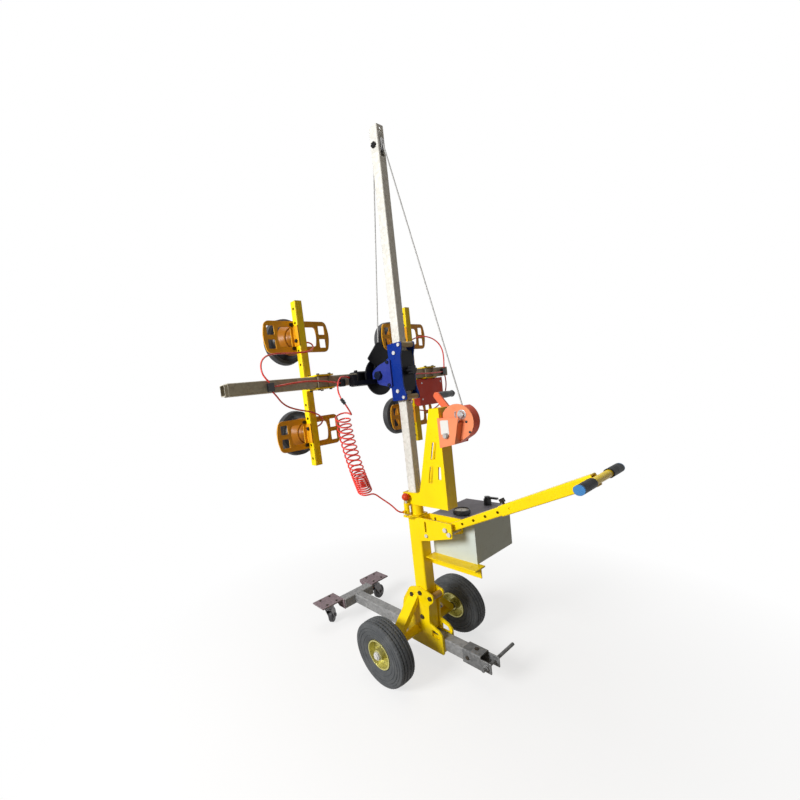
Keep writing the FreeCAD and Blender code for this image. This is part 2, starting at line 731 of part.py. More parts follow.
def vacuum_pump():
    """A motor pump lying on a foot, with its round head."""
    floor = BOX_BOTTOM + BOX_WALL
    x = BOX_NEAR + 64
    axis_z = floor + PUMP_BASE + PUMP_RADIUS
    rear = BOX_REAR + BOX_WALL + 30
    foot = block((x - 30, x + 30), (rear, rear + PUMP_LENGTH), (floor, floor + PUMP_BASE + 8))
    body = rod("y", (x, axis_z), rear, rear + PUMP_LENGTH, PUMP_RADIUS)
    head = rod("y", (x, axis_z), rear + PUMP_LENGTH, rear + PUMP_LENGTH + 28, PUMP_RADIUS - 8)
    return [foot.fuse([body, head]).removeSplitter()]


def vacuum_gauge():
    """The dial gauge and the valve's body, both on the lid."""
    profile = [(LID_TOP, 0), (LID_TOP, GAUGE_RADIUS - 8), (LID_TOP + 6, GAUGE_RADIUS - 8),
               (LID_TOP + 6, GAUGE_RADIUS), (LID_TOP + GAUGE_HEIGHT, GAUGE_RADIUS),
               (LID_TOP + GAUGE_HEIGHT, GAUGE_RADIUS - 4), (LID_TOP + GAUGE_HEIGHT - 4, GAUGE_RADIUS - 4),
               (LID_TOP + GAUGE_HEIGHT - 4, 0)]
    gauge = turned("z", (GAUGE_X, GAUGE_Y), profile)
    body = rod("z", (VALVE_X, VALVE_Y), LID_TOP, LID_TOP + VALVE_HEIGHT, VALVE_RADIUS)
    stem = rod("z", (VALVE_X, VALVE_Y), LID_TOP + VALVE_HEIGHT, LID_TOP + VALVE_HEIGHT + 8, 5)
    return [gauge, body.fuse(stem).removeSplitter()]


def valve_lever():
    low = LID_TOP + VALVE_HEIGHT + GAP
    high = low + 10
    hub = rod("z", (VALVE_X, VALVE_Y), low, high, 11)
    arm = block((VALVE_X - 6, VALVE_X + 6), (VALVE_Y - LEVER_LENGTH, VALVE_Y), (low + 2, high - 1))
    lever = hub.fuse(arm).removeSplitter()
    return [lever.cut(rod("z", (VALVE_X, VALVE_Y), low - 1, low + 7.7 + GAP, 5 + FIT))]


def drawbar_bracket():
    """A channel on the post's rear face whose side plates hold the drawbar's pivot and its stop."""
    front = -POST_HALF
    corners = [(front, BRACKET_TOP, 2), (front, BRACKET_BOTTOM, 2), (front - 44, BRACKET_BOTTOM + 10, 20),
               (STOP_PLACE[0] - 12, STOP_PLACE[1] - 14, 6), (STOP_PLACE[0] - 12, BRACKET_TOP, 6)]
    side = plate(corners, "x", POST_HALF, BRACKET_OUTER)
    slot = block((POST_HALF - 1, BRACKET_OUTER + 1), BRACKET_SLOT_Y, BRACKET_SLOT_Z)
    sides = both_sides(drilled(side.cut(slot), BRACKET_BOLTS))
    web = block((-POST_HALF, POST_HALF), (front - BRACKET_THICKNESS, front), (BRACKET_BOTTOM, BRACKET_TOP))
    return [web.fuse(sides).removeSplitter()]


# Wheels and casters

def tyre(side):
    half = TYRE_WIDTH / 2
    centre = side * HALF_TRACK
    shoulder = TYRE_RADIUS - 8
    bulge = (BEAD_RADIUS + TYRE_RADIUS) / 2 - 2

    def at(x, radius):
        return FreeCAD.Vector(centre + x, AXLE_Y, TYRE_RADIUS + radius)

    edges = [Part.makeLine(at(-BEAD_HALF, BEAD_RADIUS), at(BEAD_HALF, BEAD_RADIUS)),
             Part.Arc(at(BEAD_HALF, BEAD_RADIUS), at(half, bulge), at(half - 10, shoulder)).toShape(),
             Part.Arc(at(half - 10, shoulder), at(0, TYRE_RADIUS), at(10 - half, shoulder)).toShape(),
             Part.Arc(at(10 - half, shoulder), at(-half, bulge), at(-BEAD_HALF, BEAD_RADIUS)).toShape()]
    face = Part.Face(Part.Wire(edges))
    return [face.revolve(FreeCAD.Vector(0, AXLE_Y, TYRE_RADIUS), AXIS["x"], 360)]


def rim(side):
    """A pressed rim with its hub, and the bolts that hold its halves together."""
    centre = side * HALF_TRACK
    disc = RIM_DISC / 2
    barrel = BEAD_RADIUS - RIM_WALL
    lip = BEAD_HALF + RIM_LIP
    bore = AXLE_RADIUS + FIT
    half = [(HUB_HALF, bore), (HUB_HALF, HUB_RADIUS), (disc, HUB_RADIUS + 4), (disc, barrel), (lip, barrel),
            (lip, BEAD_RADIUS - GAP), (BEAD_HALF, BEAD_RADIUS - GAP), (BEAD_HALF, BEAD_RADIUS)]
    other = [(-x, radius) for x, radius in reversed(half)]
    profile = [(centre + x, radius) for x, radius in half + other]
    solids = [turned("x", (AXLE_Y, TYRE_RADIUS), profile)]
    for index in range(RIM_BOLTS):
        angle = 2 * math.pi * index / RIM_BOLTS
        place = (AXLE_Y + RIM_BOLT_CIRCLE * math.cos(angle), TYRE_RADIUS + RIM_BOLT_CIRCLE * math.sin(angle))
        for low in (centre - disc - 5, centre + disc):
            solids.append(hexagon("x", place, low, low + 5, 6))
    return solids


def caster_place(shape, side, turn):
    """Puts a caster piece, made about the swivel axis with its trail along +X, in place."""
    shape.rotate(FreeCAD.Vector(0, 0, 0), AXIS["z"], turn)
    shape.translate(FreeCAD.Vector(side * CASTER_X, CASTER_Y, 0))
    return shape


def caster_fork(side, turn):
    """The swivel head, fork legs and wheel axle of one caster."""
    inner = CASTER_WIDTH / 2 + 2
    outer = inner + FORK_WALL
    crown_z = 2 * CASTER_RADIUS + 16
    head = rod("z", (0, 0), crown_z + FORK_WALL, FORK_TOP, 22)
    crown = block((-24, 28), (-outer, outer), (crown_z, crown_z + FORK_WALL))
    fork = head.fuse(crown)
    corners = [(-24, crown_z + FORK_WALL), (CASTER_TRAIL - 13, CASTER_RADIUS - 12, 10),
               (CASTER_TRAIL + 13, CASTER_RADIUS - 12, 10), (28, crown_z + FORK_WALL)]
    for low in (-outer, inner):
        leg = plate(corners, "y", low, low + FORK_WALL)
        hole = rod("y", (CASTER_TRAIL, CASTER_RADIUS), low - 1, low + FORK_WALL + 1, CASTER_AXLE_RADIUS + 0.2)
        fork = fork.fuse(leg.cut(hole))
    axle = bolt("y", (CASTER_TRAIL, CASTER_RADIUS), -outer, outer, CASTER_AXLE_RADIUS)
    return [caster_place(shape, side, turn) for shape in (fork.removeSplitter(), axle)]


def caster_wheel(side, turn):
    half = CASTER_WIDTH / 2
    bore = CASTER_AXLE_RADIUS + FIT
    profile = [(-half - 1.7, bore), (-half - 1.7, 11), (-half, 12), (-half, CASTER_RADIUS - 4),
               (-half + 4, CASTER_RADIUS), (half - 4, CASTER_RADIUS), (half, CASTER_RADIUS - 4), (half, 12),
               (half + 1.7, 11), (half + 1.7, bore)]
    return [caster_place(turned("y", (CASTER_TRAIL, CASTER_RADIUS), profile), side, turn)]


# Drawbar, made level along -Y and then raised about its pivot

def raised(shape):
    pivot = FreeCAD.Vector(0, DRAWBAR_PIVOT_Y, DRAWBAR_PIVOT_Z)
    shape.rotate(pivot, AXIS["x"], -DRAWBAR_RISE)
    return shape


def drawbar_bar():
    """The inner bar with a row of adjusting holes and spacers at its pivot."""
    start = DRAWBAR_PIVOT_Y + 12
    end = DRAWBAR_PIVOT_Y - DRAWBAR_LENGTH
    bar = square_tube("y", (0, DRAWBAR_PIVOT_Z), DRAWBAR_SIZE, DRAWBAR_WALL, end, start)
    radius = BOLT_RADIUS + 1 + FIT
    bar = bar.cut(rod("x", (DRAWBAR_PIVOT_Y, DRAWBAR_PIVOT_Z), -POST_HALF, POST_HALF, radius))
    for index in range(DRAWBAR_HOLES):
        place = (DRAWBAR_PIVOT_Y - 68 - DRAWBAR_HOLE_PITCH * index, DRAWBAR_PIVOT_Z)
        bar = bar.cut(rod("x", place, -POST_HALF, POST_HALF, DRAWBAR_HOLE_RADIUS))
    width = POST_HALF - GAP - DRAWBAR_SIZE / 2
    spacers = []
    for low in (-POST_HALF + GAP, DRAWBAR_SIZE / 2):
        spacers.append(ring("x", (DRAWBAR_PIVOT_Y, DRAWBAR_PIVOT_Z), low, low + width, 13, radius))
    return [raised(bar.fuse(spacers).removeSplitter())]


def drawbar_sleeve():
    """The outer tube that slides on the bar, its wing screw and the crossways handle tube."""
    start = DRAWBAR_PIVOT_Y - SLEEVE_START
    end = DRAWBAR_PIVOT_Y - SLEEVE_END
    size = DRAWBAR_SIZE + 2 * BEAM_FIT + 2 * SLEEVE_WALL
    tube = square_tube("y", (0, DRAWBAR_PIVOT_Z), size, SLEEVE_WALL, end, start)
    tube = tube.cut(rod("x", (start - 38, DRAWBAR_PIVOT_Z), -size, size, BOLT_RADIUS))
    top = DRAWBAR_PIVOT_Z + size / 2
    screw = rod("z", (0, start - 16), top, top + 14, BOLT_RADIUS)
    wing = block((-14, 14), (start - 18, start - 14), (top + 6, top + 20))
    cross = rod("x", (end - HANDLE_RADIUS, DRAWBAR_PIVOT_Z), -HANDLE_HALF, HANDLE_HALF, HANDLE_RADIUS)
    return [raised(tube), raised(screw.fuse(wing).removeSplitter()), raised(cross)]


def handle_grips():
    y = DRAWBAR_PIVOT_Y - SLEEVE_END - HANDLE_RADIUS
    centre = (y, DRAWBAR_PIVOT_Z)
    start = HANDLE_HALF - GRIP_LENGTH
    grip = rod("x", centre, start, HANDLE_HALF + 5, GRIP_RADIUS)
    grip = grip.cut(rod("x", centre, start - 1, HANDLE_HALF, HANDLE_RADIUS))
    return [raised(shape) for shape in both_sides(grip)]


# Swivelling mast

def swivel_foot():
    """The plate on the spindle, the socket round the mast's foot and the plunger's sleeve."""
    inner = TOWER_HALF - TOWER_PLATE
    bottom_top = FOOT_BOTTOM + FOOT_PLATE
    front_in = FOOT_FRONT - TOWER_PLATE
    bottom = block((-inner, inner), (TOWER_REAR + TOWER_PLATE, front_in), (FOOT_BOTTOM, bottom_top))
    bottom = bottom.cut(rod("z", (0, 0), FOOT_BOTTOM - 1, bottom_top + 1, SPINDLE_RADIUS + FIT))
    front = block((-TOWER_HALF, TOWER_HALF), (front_in, FOOT_FRONT), (FOOT_BOTTOM, FOOT_TOP))
    socket = block((-inner, inner), (-MAST_HALF - 5, front_in), (MAST_FOOT - 4, FOOT_TOP))
    hole = MAST_HALF + 0.1
    socket = socket.cut(block((-hole, hole), (-hole, hole), (MAST_FOOT, FOOT_TOP)))
    under = block((-hole + 4, hole - 4), (-hole + 4, hole - 4), (MAST_FOOT - 5, MAST_FOOT + 1))
    foot = bottom.fuse([front, socket.cut(under)]).removeSplitter()
    sleeve_low = POST_TOP + CAP_THICKNESS + 6
    sleeve = rod("z", (PLUNGER_X, PLUNGER_Y), sleeve_low, FOOT_BOTTOM + 8, PLUNGER_SLEEVE)
    lug = block((PLUNGER_X, -TOWER_HALF), (PLUNGER_Y - 8, PLUNGER_Y + 8), (FOOT_BOTTOM - 6, FOOT_BOTTOM + 8))
    nipple = rod("x", FOOT_FITTING[1:], FOOT_FITTING[0], PLUNGER_X, FOOT_NIPPLE)
    holder = sleeve.fuse([lug, nipple])
    holder = holder.cut(rod("z", (PLUNGER_X, PLUNGER_Y), sleeve_low - 1, FOOT_BOTTOM + 9, PLUNGER_PIN + FIT))
    return [foot, holder.removeSplitter()]


def lock_plunger():
    """The index pin in its sleeve, drawn up clear of the post's cap, with a ball knob."""
    sleeve_top = FOOT_BOTTOM + 8
    knob_z = sleeve_top + PLUNGER_DROP + PLUNGER_KNOB - 3
    pin = rod("z", (PLUNGER_X, PLUNGER_Y), POST_TOP + CAP_THICKNESS + GAP, knob_z, PLUNGER_PIN)
    knob = Part.makeSphere(PLUNGER_KNOB, FreeCAD.Vector(PLUNGER_X, PLUNGER_Y, knob_z))
    flat_z = (knob_z - 20, sleeve_top + PLUNGER_DROP)
    flat = block((PLUNGER_X - 20, PLUNGER_X + 20), (PLUNGER_Y - 20, PLUNGER_Y + 20), flat_z)
    return [pin.fuse(knob.cut(flat)).removeSplitter()]


def winch_tower():
    """A tapered channel of sheet steel with windows in its sides and a closed back."""
    inner = TOWER_HALF - TOWER_PLATE
    front_in = FOOT_FRONT - TOWER_PLATE
    corners = [(front_in, FOOT_BOTTOM), (front_in, FOOT_TOP), (-48, FOOT_TOP + 4, 14), (-132, TOWER_TOP),
               (TOWER_REAR, TOWER_TOP), (TOWER_REAR, FOOT_BOTTOM)]
    side = plate(corners, "x", inner, TOWER_HALF)
    windows = [[(-152, 950, 3), (-134, 950, 3), (-119, 884, 3), (-140, 884, 3)],
               [(-128, 856, 3), (-113, 856, 3), (-98, 790, 3), (-116, 790, 3)],
               [(-161, 856, 3), (-150, 856, 3), (-145, 806, 3), (-159, 806, 3)]]
    for window in windows:
        side = side.cut(plate(window, "x", inner - 1, TOWER_HALF + 1))
    back = block((-inner, inner), (TOWER_REAR, TOWER_REAR + TOWER_PLATE), (FOOT_BOTTOM, TOWER_TOP))
    cap = block((-TOWER_HALF, TOWER_HALF), (TOWER_REAR, -132), (TOWER_TOP, TOWER_TOP + 4))
    return [drilled(side.fuse([mirrored(side), back, cap]).removeSplitter(), WINCH_BOLTS)]


def mast_tube():
    """The lifting mast, slotted at the top for the rope and its sheave."""
    mast = square_tube("z", (0, 0), MAST_SIZE, MAST_WALL, MAST_FOOT, MAST_TOP)
    half_slot = SHEAVE_WIDTH / 2 + 3
    reach = SHEAVE_RADIUS + 22
    slot = block((-half_slot, half_slot), (-MAST_SIZE, MAST_SIZE), (SHEAVE_Z - reach, SHEAVE_Z + reach))
    upper = rod("y", (0, MAST_TOP - 12), -MAST_SIZE, 0, 5)
    mast = mast.cut(slot).cut(upper)
    return [drilled(mast, MAST_BOLTS)]


STOP_Z = HEAD_Z - REAR_ROLLER_HALF - ROLLER_RADIUS - GAP - BOLT_RADIUS * HEAD_SPAN / 2 * 1.1
MAST_BOLTS = [("x", (0.0, SHEAVE_Z), -MAST_HALF, MAST_HALF, SHEAVE_PIN),
              ("y", (0.0, STOP_Z), -MAST_HALF - 8, MAST_HALF + 8, BOLT_RADIUS)]
WINCH_BOLTS = [("y", (-14.0, WINCH_BOTTOM + 22), TOWER_REAR - WINCH_PLATE, TOWER_REAR + TOWER_PLATE, BOLT_RADIUS),
               ("y", (14.0, WINCH_BOTTOM + 22), TOWER_REAR - WINCH_PLATE, TOWER_REAR + TOWER_PLATE, BOLT_RADIUS)]


def guard_band():
    """The curved guard behind the drum, its straight tail and its floor."""
    along = (SIDE_DISC_NEAR, GUARD_FAR)
    inner = GUARD_RADIUS - GUARD_WALL
    sweep = [(DRUM_Y, DRUM_Z)]
    steps = 6
    for index in range(steps + 1):
        angle = math.radians(GUARD_START + (GUARD_END - GUARD_START) * index / steps)
        reach = 2 * GUARD_RADIUS
        sweep.append((DRUM_Y + reach * math.cos(angle), DRUM_Z + reach * math.sin(angle)))
    band = ring("x", (DRUM_Y, DRUM_Z), *along, GUARD_RADIUS, inner).common(plate(sweep, "x", *along))
    angle = math.radians(GUARD_END)
    away = (math.cos(angle), math.sin(angle))
    run = (-away[1] * GUARD_TAIL, away[0] * GUARD_TAIL)
    outside = (DRUM_Y + GUARD_RADIUS * away[0], DRUM_Z + GUARD_RADIUS * away[1])
    inside = (DRUM_Y + inner * away[0], DRUM_Z + inner * away[1])
    tip = (outside[0] + run[0], outside[1] + run[1])
    tail = plate([outside, tip, (inside[0] + run[0], inside[1] + run[1]), inside], "x", *along)
    floor_top = tip[1] + GUARD_WALL / 4
    floor = block(along, (tip[0], TOWER_REAR - WINCH_PLATE), (floor_top - GUARD_WALL, floor_top))
    return [band, tail, floor]


def winch_frame():
    """A bent frame on the tower's back, with a casing disc and the guard behind the drum."""
    outer = WINCH_HALF + WINCH_PLATE
    top = WINCH_BOTTOM + WINCH_HEIGHT
    back_y = TOWER_REAR - WINCH_PLATE
    back = drilled(block((-outer, outer), (back_y, TOWER_REAR), (WINCH_BOTTOM, top)), WINCH_BOLTS)
    corners = [(back_y, WINCH_BOTTOM), (back_y, top), WINCH_SIDE_TOP, WINCH_SIDE_FOOT]
    far = plate(corners, "x", WINCH_HALF, outer)
    near = mirrored(far)
    far = far.cut(rod("x", (DRUM_Y, DRUM_Z), WINCH_HALF - 1, outer + 1, DRUM_SHAFT + FIT))
    disc_far = SIDE_DISC_NEAR + SIDE_DISC_THICKNESS
    disc = ring("x", (DRUM_Y, DRUM_Z), SIDE_DISC_NEAR, disc_far, GUARD_RADIUS, DRUM_SHAFT + FIT)
    disc = disc.cut(block((SIDE_DISC_NEAR, disc_far), (back_y, 0), (WINCH_BOTTOM, TOWER_TOP)))
    rise = (WINCH_SIDE_FOOT[0] - WINCH_SIDE_TOP[0], WINCH_SIDE_FOOT[1] - WINCH_SIDE_TOP[1])
    begin = (WINCH_SIDE_TOP[0] + WINCH_FOLD_START * rise[0], WINCH_SIDE_TOP[1] + WINCH_FOLD_START * rise[1])
    fold = plate([begin, WINCH_SIDE_FOOT, (WINCH_SIDE_FOOT[0] + WINCH_FOLD, WINCH_SIDE_FOOT[1]),
                  (begin[0] + WINCH_FOLD, begin[1])], "x", -WINCH_HALF, SIDE_DISC_NEAR)
    frame = back.fuse([near, far, disc, fold] + guard_band()).removeSplitter()
    return [frame.cut(rod("x", (CRANK_Y, CRANK_Z), -outer - 1, outer + 1, DRUM_SHAFT + FIT))]


def mast_fasteners():
    """The sheave's pin, the carriage's stop bolt, the winch bolts and the pin on its casing disc."""
    bolts = [bolt(*spec) for spec in MAST_BOLTS + WINCH_BOLTS]
    return bolts + [hexagon("x", CASING_PIN, SIDE_DISC_NEAR - 8, SIDE_DISC_NEAR, CRANK_NUT)]


def gear(axis_place, teeth, low, high, phase):
    """A spur gear with straight-sided teeth and generous backlash."""
    radius = MODULE * teeth / 2
    tip = radius + 0.7 * MODULE
    root = radius - 1.1 * MODULE
    step = 2 * math.pi / teeth
    corners = []
    for index in range(teeth):
        middle = phase + index * step
        for share, reach in ((-0.27, root), (-0.11, tip), (0.11, tip), (0.27, root)):
            angle = middle + share * step
            corners.append((axis_place[0] + reach * math.cos(angle), axis_place[1] + reach * math.sin(angle)))
    return plate(corners, "x", low, high)


MESH_ANGLE = math.atan2(CRANK_Z - DRUM_Z, CRANK_Y - DRUM_Y)


def winch_drum():
    """The drum with its flanges, shaft and big gear in one piece."""
    core = WIND_RADIUS - ROPE_RADIUS - GAP
    near = DRUM_NEAR - DRUM_FLANGE_THICKNESS
    far = DRUM_FAR + DRUM_FLANGE_THICKNESS
    shaft_near = SIDE_DISC_NEAR - 4
    gear_end = GEAR_FACE + GEAR_WIDTH
    profile = [(shaft_near, 0), (shaft_near, DRUM_SHAFT), (near, DRUM_SHAFT), (near, DRUM_FLANGE),
               (DRUM_NEAR, DRUM_FLANGE), (DRUM_NEAR, core), (DRUM_FAR, core), (DRUM_FAR, DRUM_FLANGE),
               (far, DRUM_FLANGE), (far, DRUM_SHAFT), (gear_end + 6, DRUM_SHAFT), (gear_end + 6, 0)]
    drum = turned("x", (DRUM_Y, DRUM_Z), profile)
    wheel = gear((DRUM_Y, DRUM_Z), GEAR_TEETH, GEAR_FACE, gear_end, MESH_ANGLE)
    return [drum.fuse(wheel).removeSplitter()]


def winch_crank():
    """The crank arm with its shaft and pinion, meshed with the drum's gear."""
    centre = (CRANK_Y, CRANK_Z)
    near = -WINCH_HALF - WINCH_PLATE - 1
    shaft = rod("x", centre, near - 11, CRANK_PLANE + CRANK_BAR, DRUM_SHAFT)
    nut = hexagon("x", centre, near - 8, near, CRANK_NUT)
    phase = MESH_ANGLE + math.pi + math.pi / PINION_TEETH
    pinion = gear(centre, PINION_TEETH, GEAR_FACE, GEAR_FACE + GEAR_WIDTH + 4, phase)
    across = math.radians(CRANK_LEAN + 90)
    dy = CRANK_HALF * math.cos(across)
    dz = CRANK_HALF * math.sin(across)
    corners = [(CRANK_Y + dy, CRANK_Z + dz, 4), (CRANK_Y - dy, CRANK_Z - dz, 4),
               (CRANK_END_Y - dy, CRANK_END_Z - dz, 4), (CRANK_END_Y + dy, CRANK_END_Z + dz, 4)]
    arm = plate(corners, "x", CRANK_PLANE, CRANK_PLANE + CRANK_BAR)
    boss = rod("x", centre, CRANK_PLANE, CRANK_PLANE + CRANK_BAR, CRANK_HALF + 4)
    end_boss = rod("x", (CRANK_END_Y, CRANK_END_Z), CRANK_PLANE, CRANK_PLANE + CRANK_BAR, CRANK_HALF)
    stud_end = CRANK_PLANE + CRANK_BAR + CRANK_GRIP_LENGTH + 2
    stud = rod("x", (CRANK_END_Y, CRANK_END_Z), CRANK_PLANE, stud_end, 5)
    stop = rod("x", (CRANK_END_Y, CRANK_END_Z), stud_end, stud_end + 4, 8)
    return [shaft.fuse([nut, pinion, arm, boss, end_boss, stud, stop]).removeSplitter()]


def crank_grip():
    start = CRANK_PLANE + CRANK_BAR + GAP
    end = start + CRANK_GRIP_LENGTH
    middle = (start + end) / 2
    bore = 5 + FIT
    wide = CRANK_GRIP_RADIUS
    profile = [(start, bore), (start, wide - 4), (start + 10, wide - 1), (middle, wide), (end - 14, wide - 2),
               (end - 6, wide), (end, wide - 3), (end, bore)]
    return [turned("x", (CRANK_END_Y, CRANK_END_Z), profile)]


def mast_sheave():
    half = SHEAVE_WIDTH / 2
    groove = SHEAVE_RADIUS - ROPE_RADIUS - GAP
    flank = ROPE_RADIUS + GAP
    bore = SHEAVE_PIN + FIT
    edge = SHEAVE_RADIUS + SHEAVE_RIM
    profile = [(-half, bore), (-half, edge), (-half + 1.5, edge), (-flank, groove), (flank, groove),
               (half - 1.5, edge), (half, edge), (half, bore)]
    return [turned("x", (0, SHEAVE_Z), profile)]


# Hoist rope

def rear_tangent():
    """Where the rope leaves the sheave and meets the drum, behind both."""
    along = FreeCAD.Vector(0, DRUM_Y, DRUM_Z) - FreeCAD.Vector(0, 0, SHEAVE_Z)
    lean = math.atan2(along.z, along.y)
    turn = math.acos((SHEAVE_RADIUS - WIND_RADIUS) / along.Length)
    out = FreeCAD.Vector(0, math.cos(lean - turn), math.sin(lean - turn))
    high = FreeCAD.Vector(0, 0, SHEAVE_Z) + out * SHEAVE_RADIUS
    low = FreeCAD.Vector(0, DRUM_Y, DRUM_Z) + out * WIND_RADIUS
    return high, low


ROPE_ANCHOR = FreeCAD.Vector(0, TONGUE_Y + TONGUE_THICKNESS / 2, TONGUE_TOP + GAP)


def front_tangent():
    """Where the rope leaves the front of the sheave on its way to the carriage."""
    centre = FreeCAD.Vector(0, 0, SHEAVE_Z)
    along = ROPE_ANCHOR - centre
    lean = math.atan2(along.z, along.y)
    turn = math.acos(SHEAVE_RADIUS / along.Length)
    out = FreeCAD.Vector(0, math.cos(lean + turn), math.sin(lean + turn))
    return centre + out * SHEAVE_RADIUS


def rope_rear_fall():
    """The rope from the drum up to the sheave and over it."""
    high, low = rear_tangent()
    front = front_tangent()
    over = FreeCAD.Vector(0, 0, SHEAVE_Z + SHEAVE_RADIUS)
    way = high - low
    way.normalize()
    start = low + way * (2 * ROPE_RADIUS + GAP)
    path = Part.Wire([Part.makeLine(start, high), Part.Arc(high, over, front).toShape()])
    return [swept(path, ROPE_RADIUS, way)]


def rope_front_fall():
    start = front_tangent()
    along = ROPE_ANCHOR - start
    return [Part.makeCylinder(ROPE_RADIUS, along.Length, start, along)]


def rope_winding():
    """The outer layer of rope on the drum, from one flange to where the rope leaves."""
    _, low = rear_tangent()
    leave = math.atan2(low.z - DRUM_Z, low.y - DRUM_Y)

    def place(turn):
        angle = leave + 2 * math.pi * (WIND_TURNS - turn)
        x = WIND_PITCH * (WIND_TURNS - turn)
        return FreeCAD.Vector(x, DRUM_Y + WIND_RADIUS * math.cos(angle), DRUM_Z + WIND_RADIUS * math.sin(angle))

    tube, _, _ = winding(place, WIND_TURNS, ROPE_RADIUS, "rope winding")
    return [tube]


# Lifting carriage

def roller_places():
    places = []
    for side in (-1, 1):
        places.append((-ROLLER_Y, HEAD_Z + side * REAR_ROLLER_HALF))
        places.append((ROLLER_Y, HEAD_Z + side * FRONT_ROLLER_HALF))
    return places


CLEVIS_OUTER = CARRIAGE_OUTER + CHEEK_PLATE
PAD_PLACES = [(-3.0, HEAD_Z - PAD_HALF), (-3.0, HEAD_Z + PAD_HALF)]
TILT_PIVOT = (PIVOT_Y, HEAD_Z)


def carriage_plates():
    """The carriage's side plates and the clevis cheeks outside them."""
    low = HEAD_Z - CARRIAGE_HALF_HEIGHT
    high = HEAD_Z + CARRIAGE_HALF_HEIGHT
    front = ROLLER_Y + 11
    reach = FRONT_ROLLER_HALF + 14
    corners = [(30, low, 6), (-43, low, 6), (-43, low + 22, 8), (-33, HEAD_Z - 58, 60), (-33, HEAD_Z + 58, 60),
               (-43, high - 22, 8), (-43, high, 6), (30, high, 6), (30, HEAD_Z + reach, 4),
               (front, HEAD_Z + reach, 6), (front, HEAD_Z - reach, 6), (30, HEAD_Z - reach, 4)]
    side = plate(corners, "x", CARRIAGE_INNER, CARRIAGE_OUTER)
    for place in roller_places() + PAD_PLACES:
        side = side.cut(rod("x", place, CARRIAGE_INNER - 1, CARRIAGE_OUTER + 1, BOLT_RADIUS + BOLT_CLEARANCE))
    half = FRONT_ROLLER_HALF + 11
    cheek_corners = [(18, HEAD_Z - half, 6), (PIVOT_Y, HEAD_Z - CHEEK_ROUND - 2, 24),
                     (PIVOT_Y + CHEEK_ROUND, HEAD_Z - CHEEK_ROUND / 2, 18),
                     (PIVOT_Y + CHEEK_ROUND, HEAD_Z + CHEEK_ROUND / 2, 18),
                     (PIVOT_Y, HEAD_Z + CHEEK_ROUND + 2, 24), (18, HEAD_Z + half, 6)]
    cheek = plate(cheek_corners, "x", CARRIAGE_OUTER, CLEVIS_OUTER)
    for place in roller_places():
        cheek = cheek.cut(rod("x", place, CARRIAGE_OUTER - 1, CLEVIS_OUTER + 1, BOLT_RADIUS + BOLT_CLEARANCE))
    cheek = cheek.cut(rod("x", TILT_PIVOT, CARRIAGE_OUTER - 1, CLEVIS_OUTER + 1, PIVOT_RADIUS + BOLT_CLEARANCE))
    return both_sides(side) + both_sides(cheek)


def carriage_guides():
    """Guide rollers before and behind the mast, side pads, and the bolts through them."""
    solids = []
    bore = BOLT_RADIUS + BOLT_CLEARANCE
    for place in roller_places():
        solids.append(ring("x", place, -CARRIAGE_INNER, CARRIAGE_INNER, ROLLER_RADIUS, bore))
        outside = CLEVIS_OUTER if place[0] > 0 else CARRIAGE_OUTER
        solids.append(bolt("x", place, -outside, outside, BOLT_RADIUS))
    for place in PAD_PLACES:
        pad = rod("x", place, MAST_HALF + GAP, CARRIAGE_INNER, PAD_RADIUS)
        stud = rod("x", place, CARRIAGE_INNER, CARRIAGE_OUTER, BOLT_RADIUS)
        head = rod("x", place, CARRIAGE_OUTER, CARRIAGE_OUTER + 4, BOLT_RADIUS * 1.9)
        solids.extend(both_sides(pad.fuse([stud, head]).removeSplitter()))
    solids.append(bolt("x", TILT_PIVOT, -CLEVIS_OUTER, CLEVIS_OUTER, PIVOT_RADIUS))
    return solids


HOSE_BAR_END = -176.0
HOSE_BAR_Z = HEAD_Z - 22
LEAD_FITTING = (HOSE_BAR_END - END_GAP, 122.0, HEAD_Z + 4)


def carriage_brackets():
    """The rear cover, the rope's tongue with its bridge, and the bar that carries the hose fitting."""
    cover = block((-CARRIAGE_INNER, CARRIAGE_INNER), (COVER_REAR, COVER_REAR + COVER_THICKNESS),
                  (HEAD_Z - COVER_HALF_HEIGHT, HEAD_Z + COVER_HALF_HEIGHT))
    cover = cover.cut(rod("y", (0, HEAD_Z), -40, 0, KNOB_STUD + FIT))
    bridge_z = (HEAD_Z + YOKE_HALF + 4, HEAD_Z + YOKE_HALF + 10)
    tongue_front = TONGUE_Y + TONGUE_THICKNESS
    bridge = block((-CARRIAGE_OUTER, CARRIAGE_OUTER), (PIVOT_Y - 14, tongue_front), bridge_z)
    half = CARRIAGE_OUTER - 1
    corners = [(-half, bridge_z[0]), (half, bridge_z[0]), (half, HEAD_Z + 46), (72, HEAD_Z + 76, 6),
               (9, TONGUE_TOP, 6), (-9, TONGUE_TOP, 6), (-72, HEAD_Z + 76, 6), (-half, HEAD_Z + 46)]
    tongue = plate(corners, "y", TONGUE_Y, tongue_front)
    tongue = bridge.fuse(tongue).removeSplitter()
    bar = block((HOSE_BAR_END, -CLEVIS_OUTER), (PIVOT_Y + 14, PIVOT_Y + 19), (HOSE_BAR_Z - 9, HOSE_BAR_Z + 9))
    _, y, z = LEAD_FITTING
    elbow = block((HOSE_BAR_END, HOSE_BAR_END + 22), (PIVOT_Y + 19, y + 8), (HOSE_BAR_Z - 9, z + 9))
    return [cover, tongue, bar.fuse(elbow).removeSplitter()]


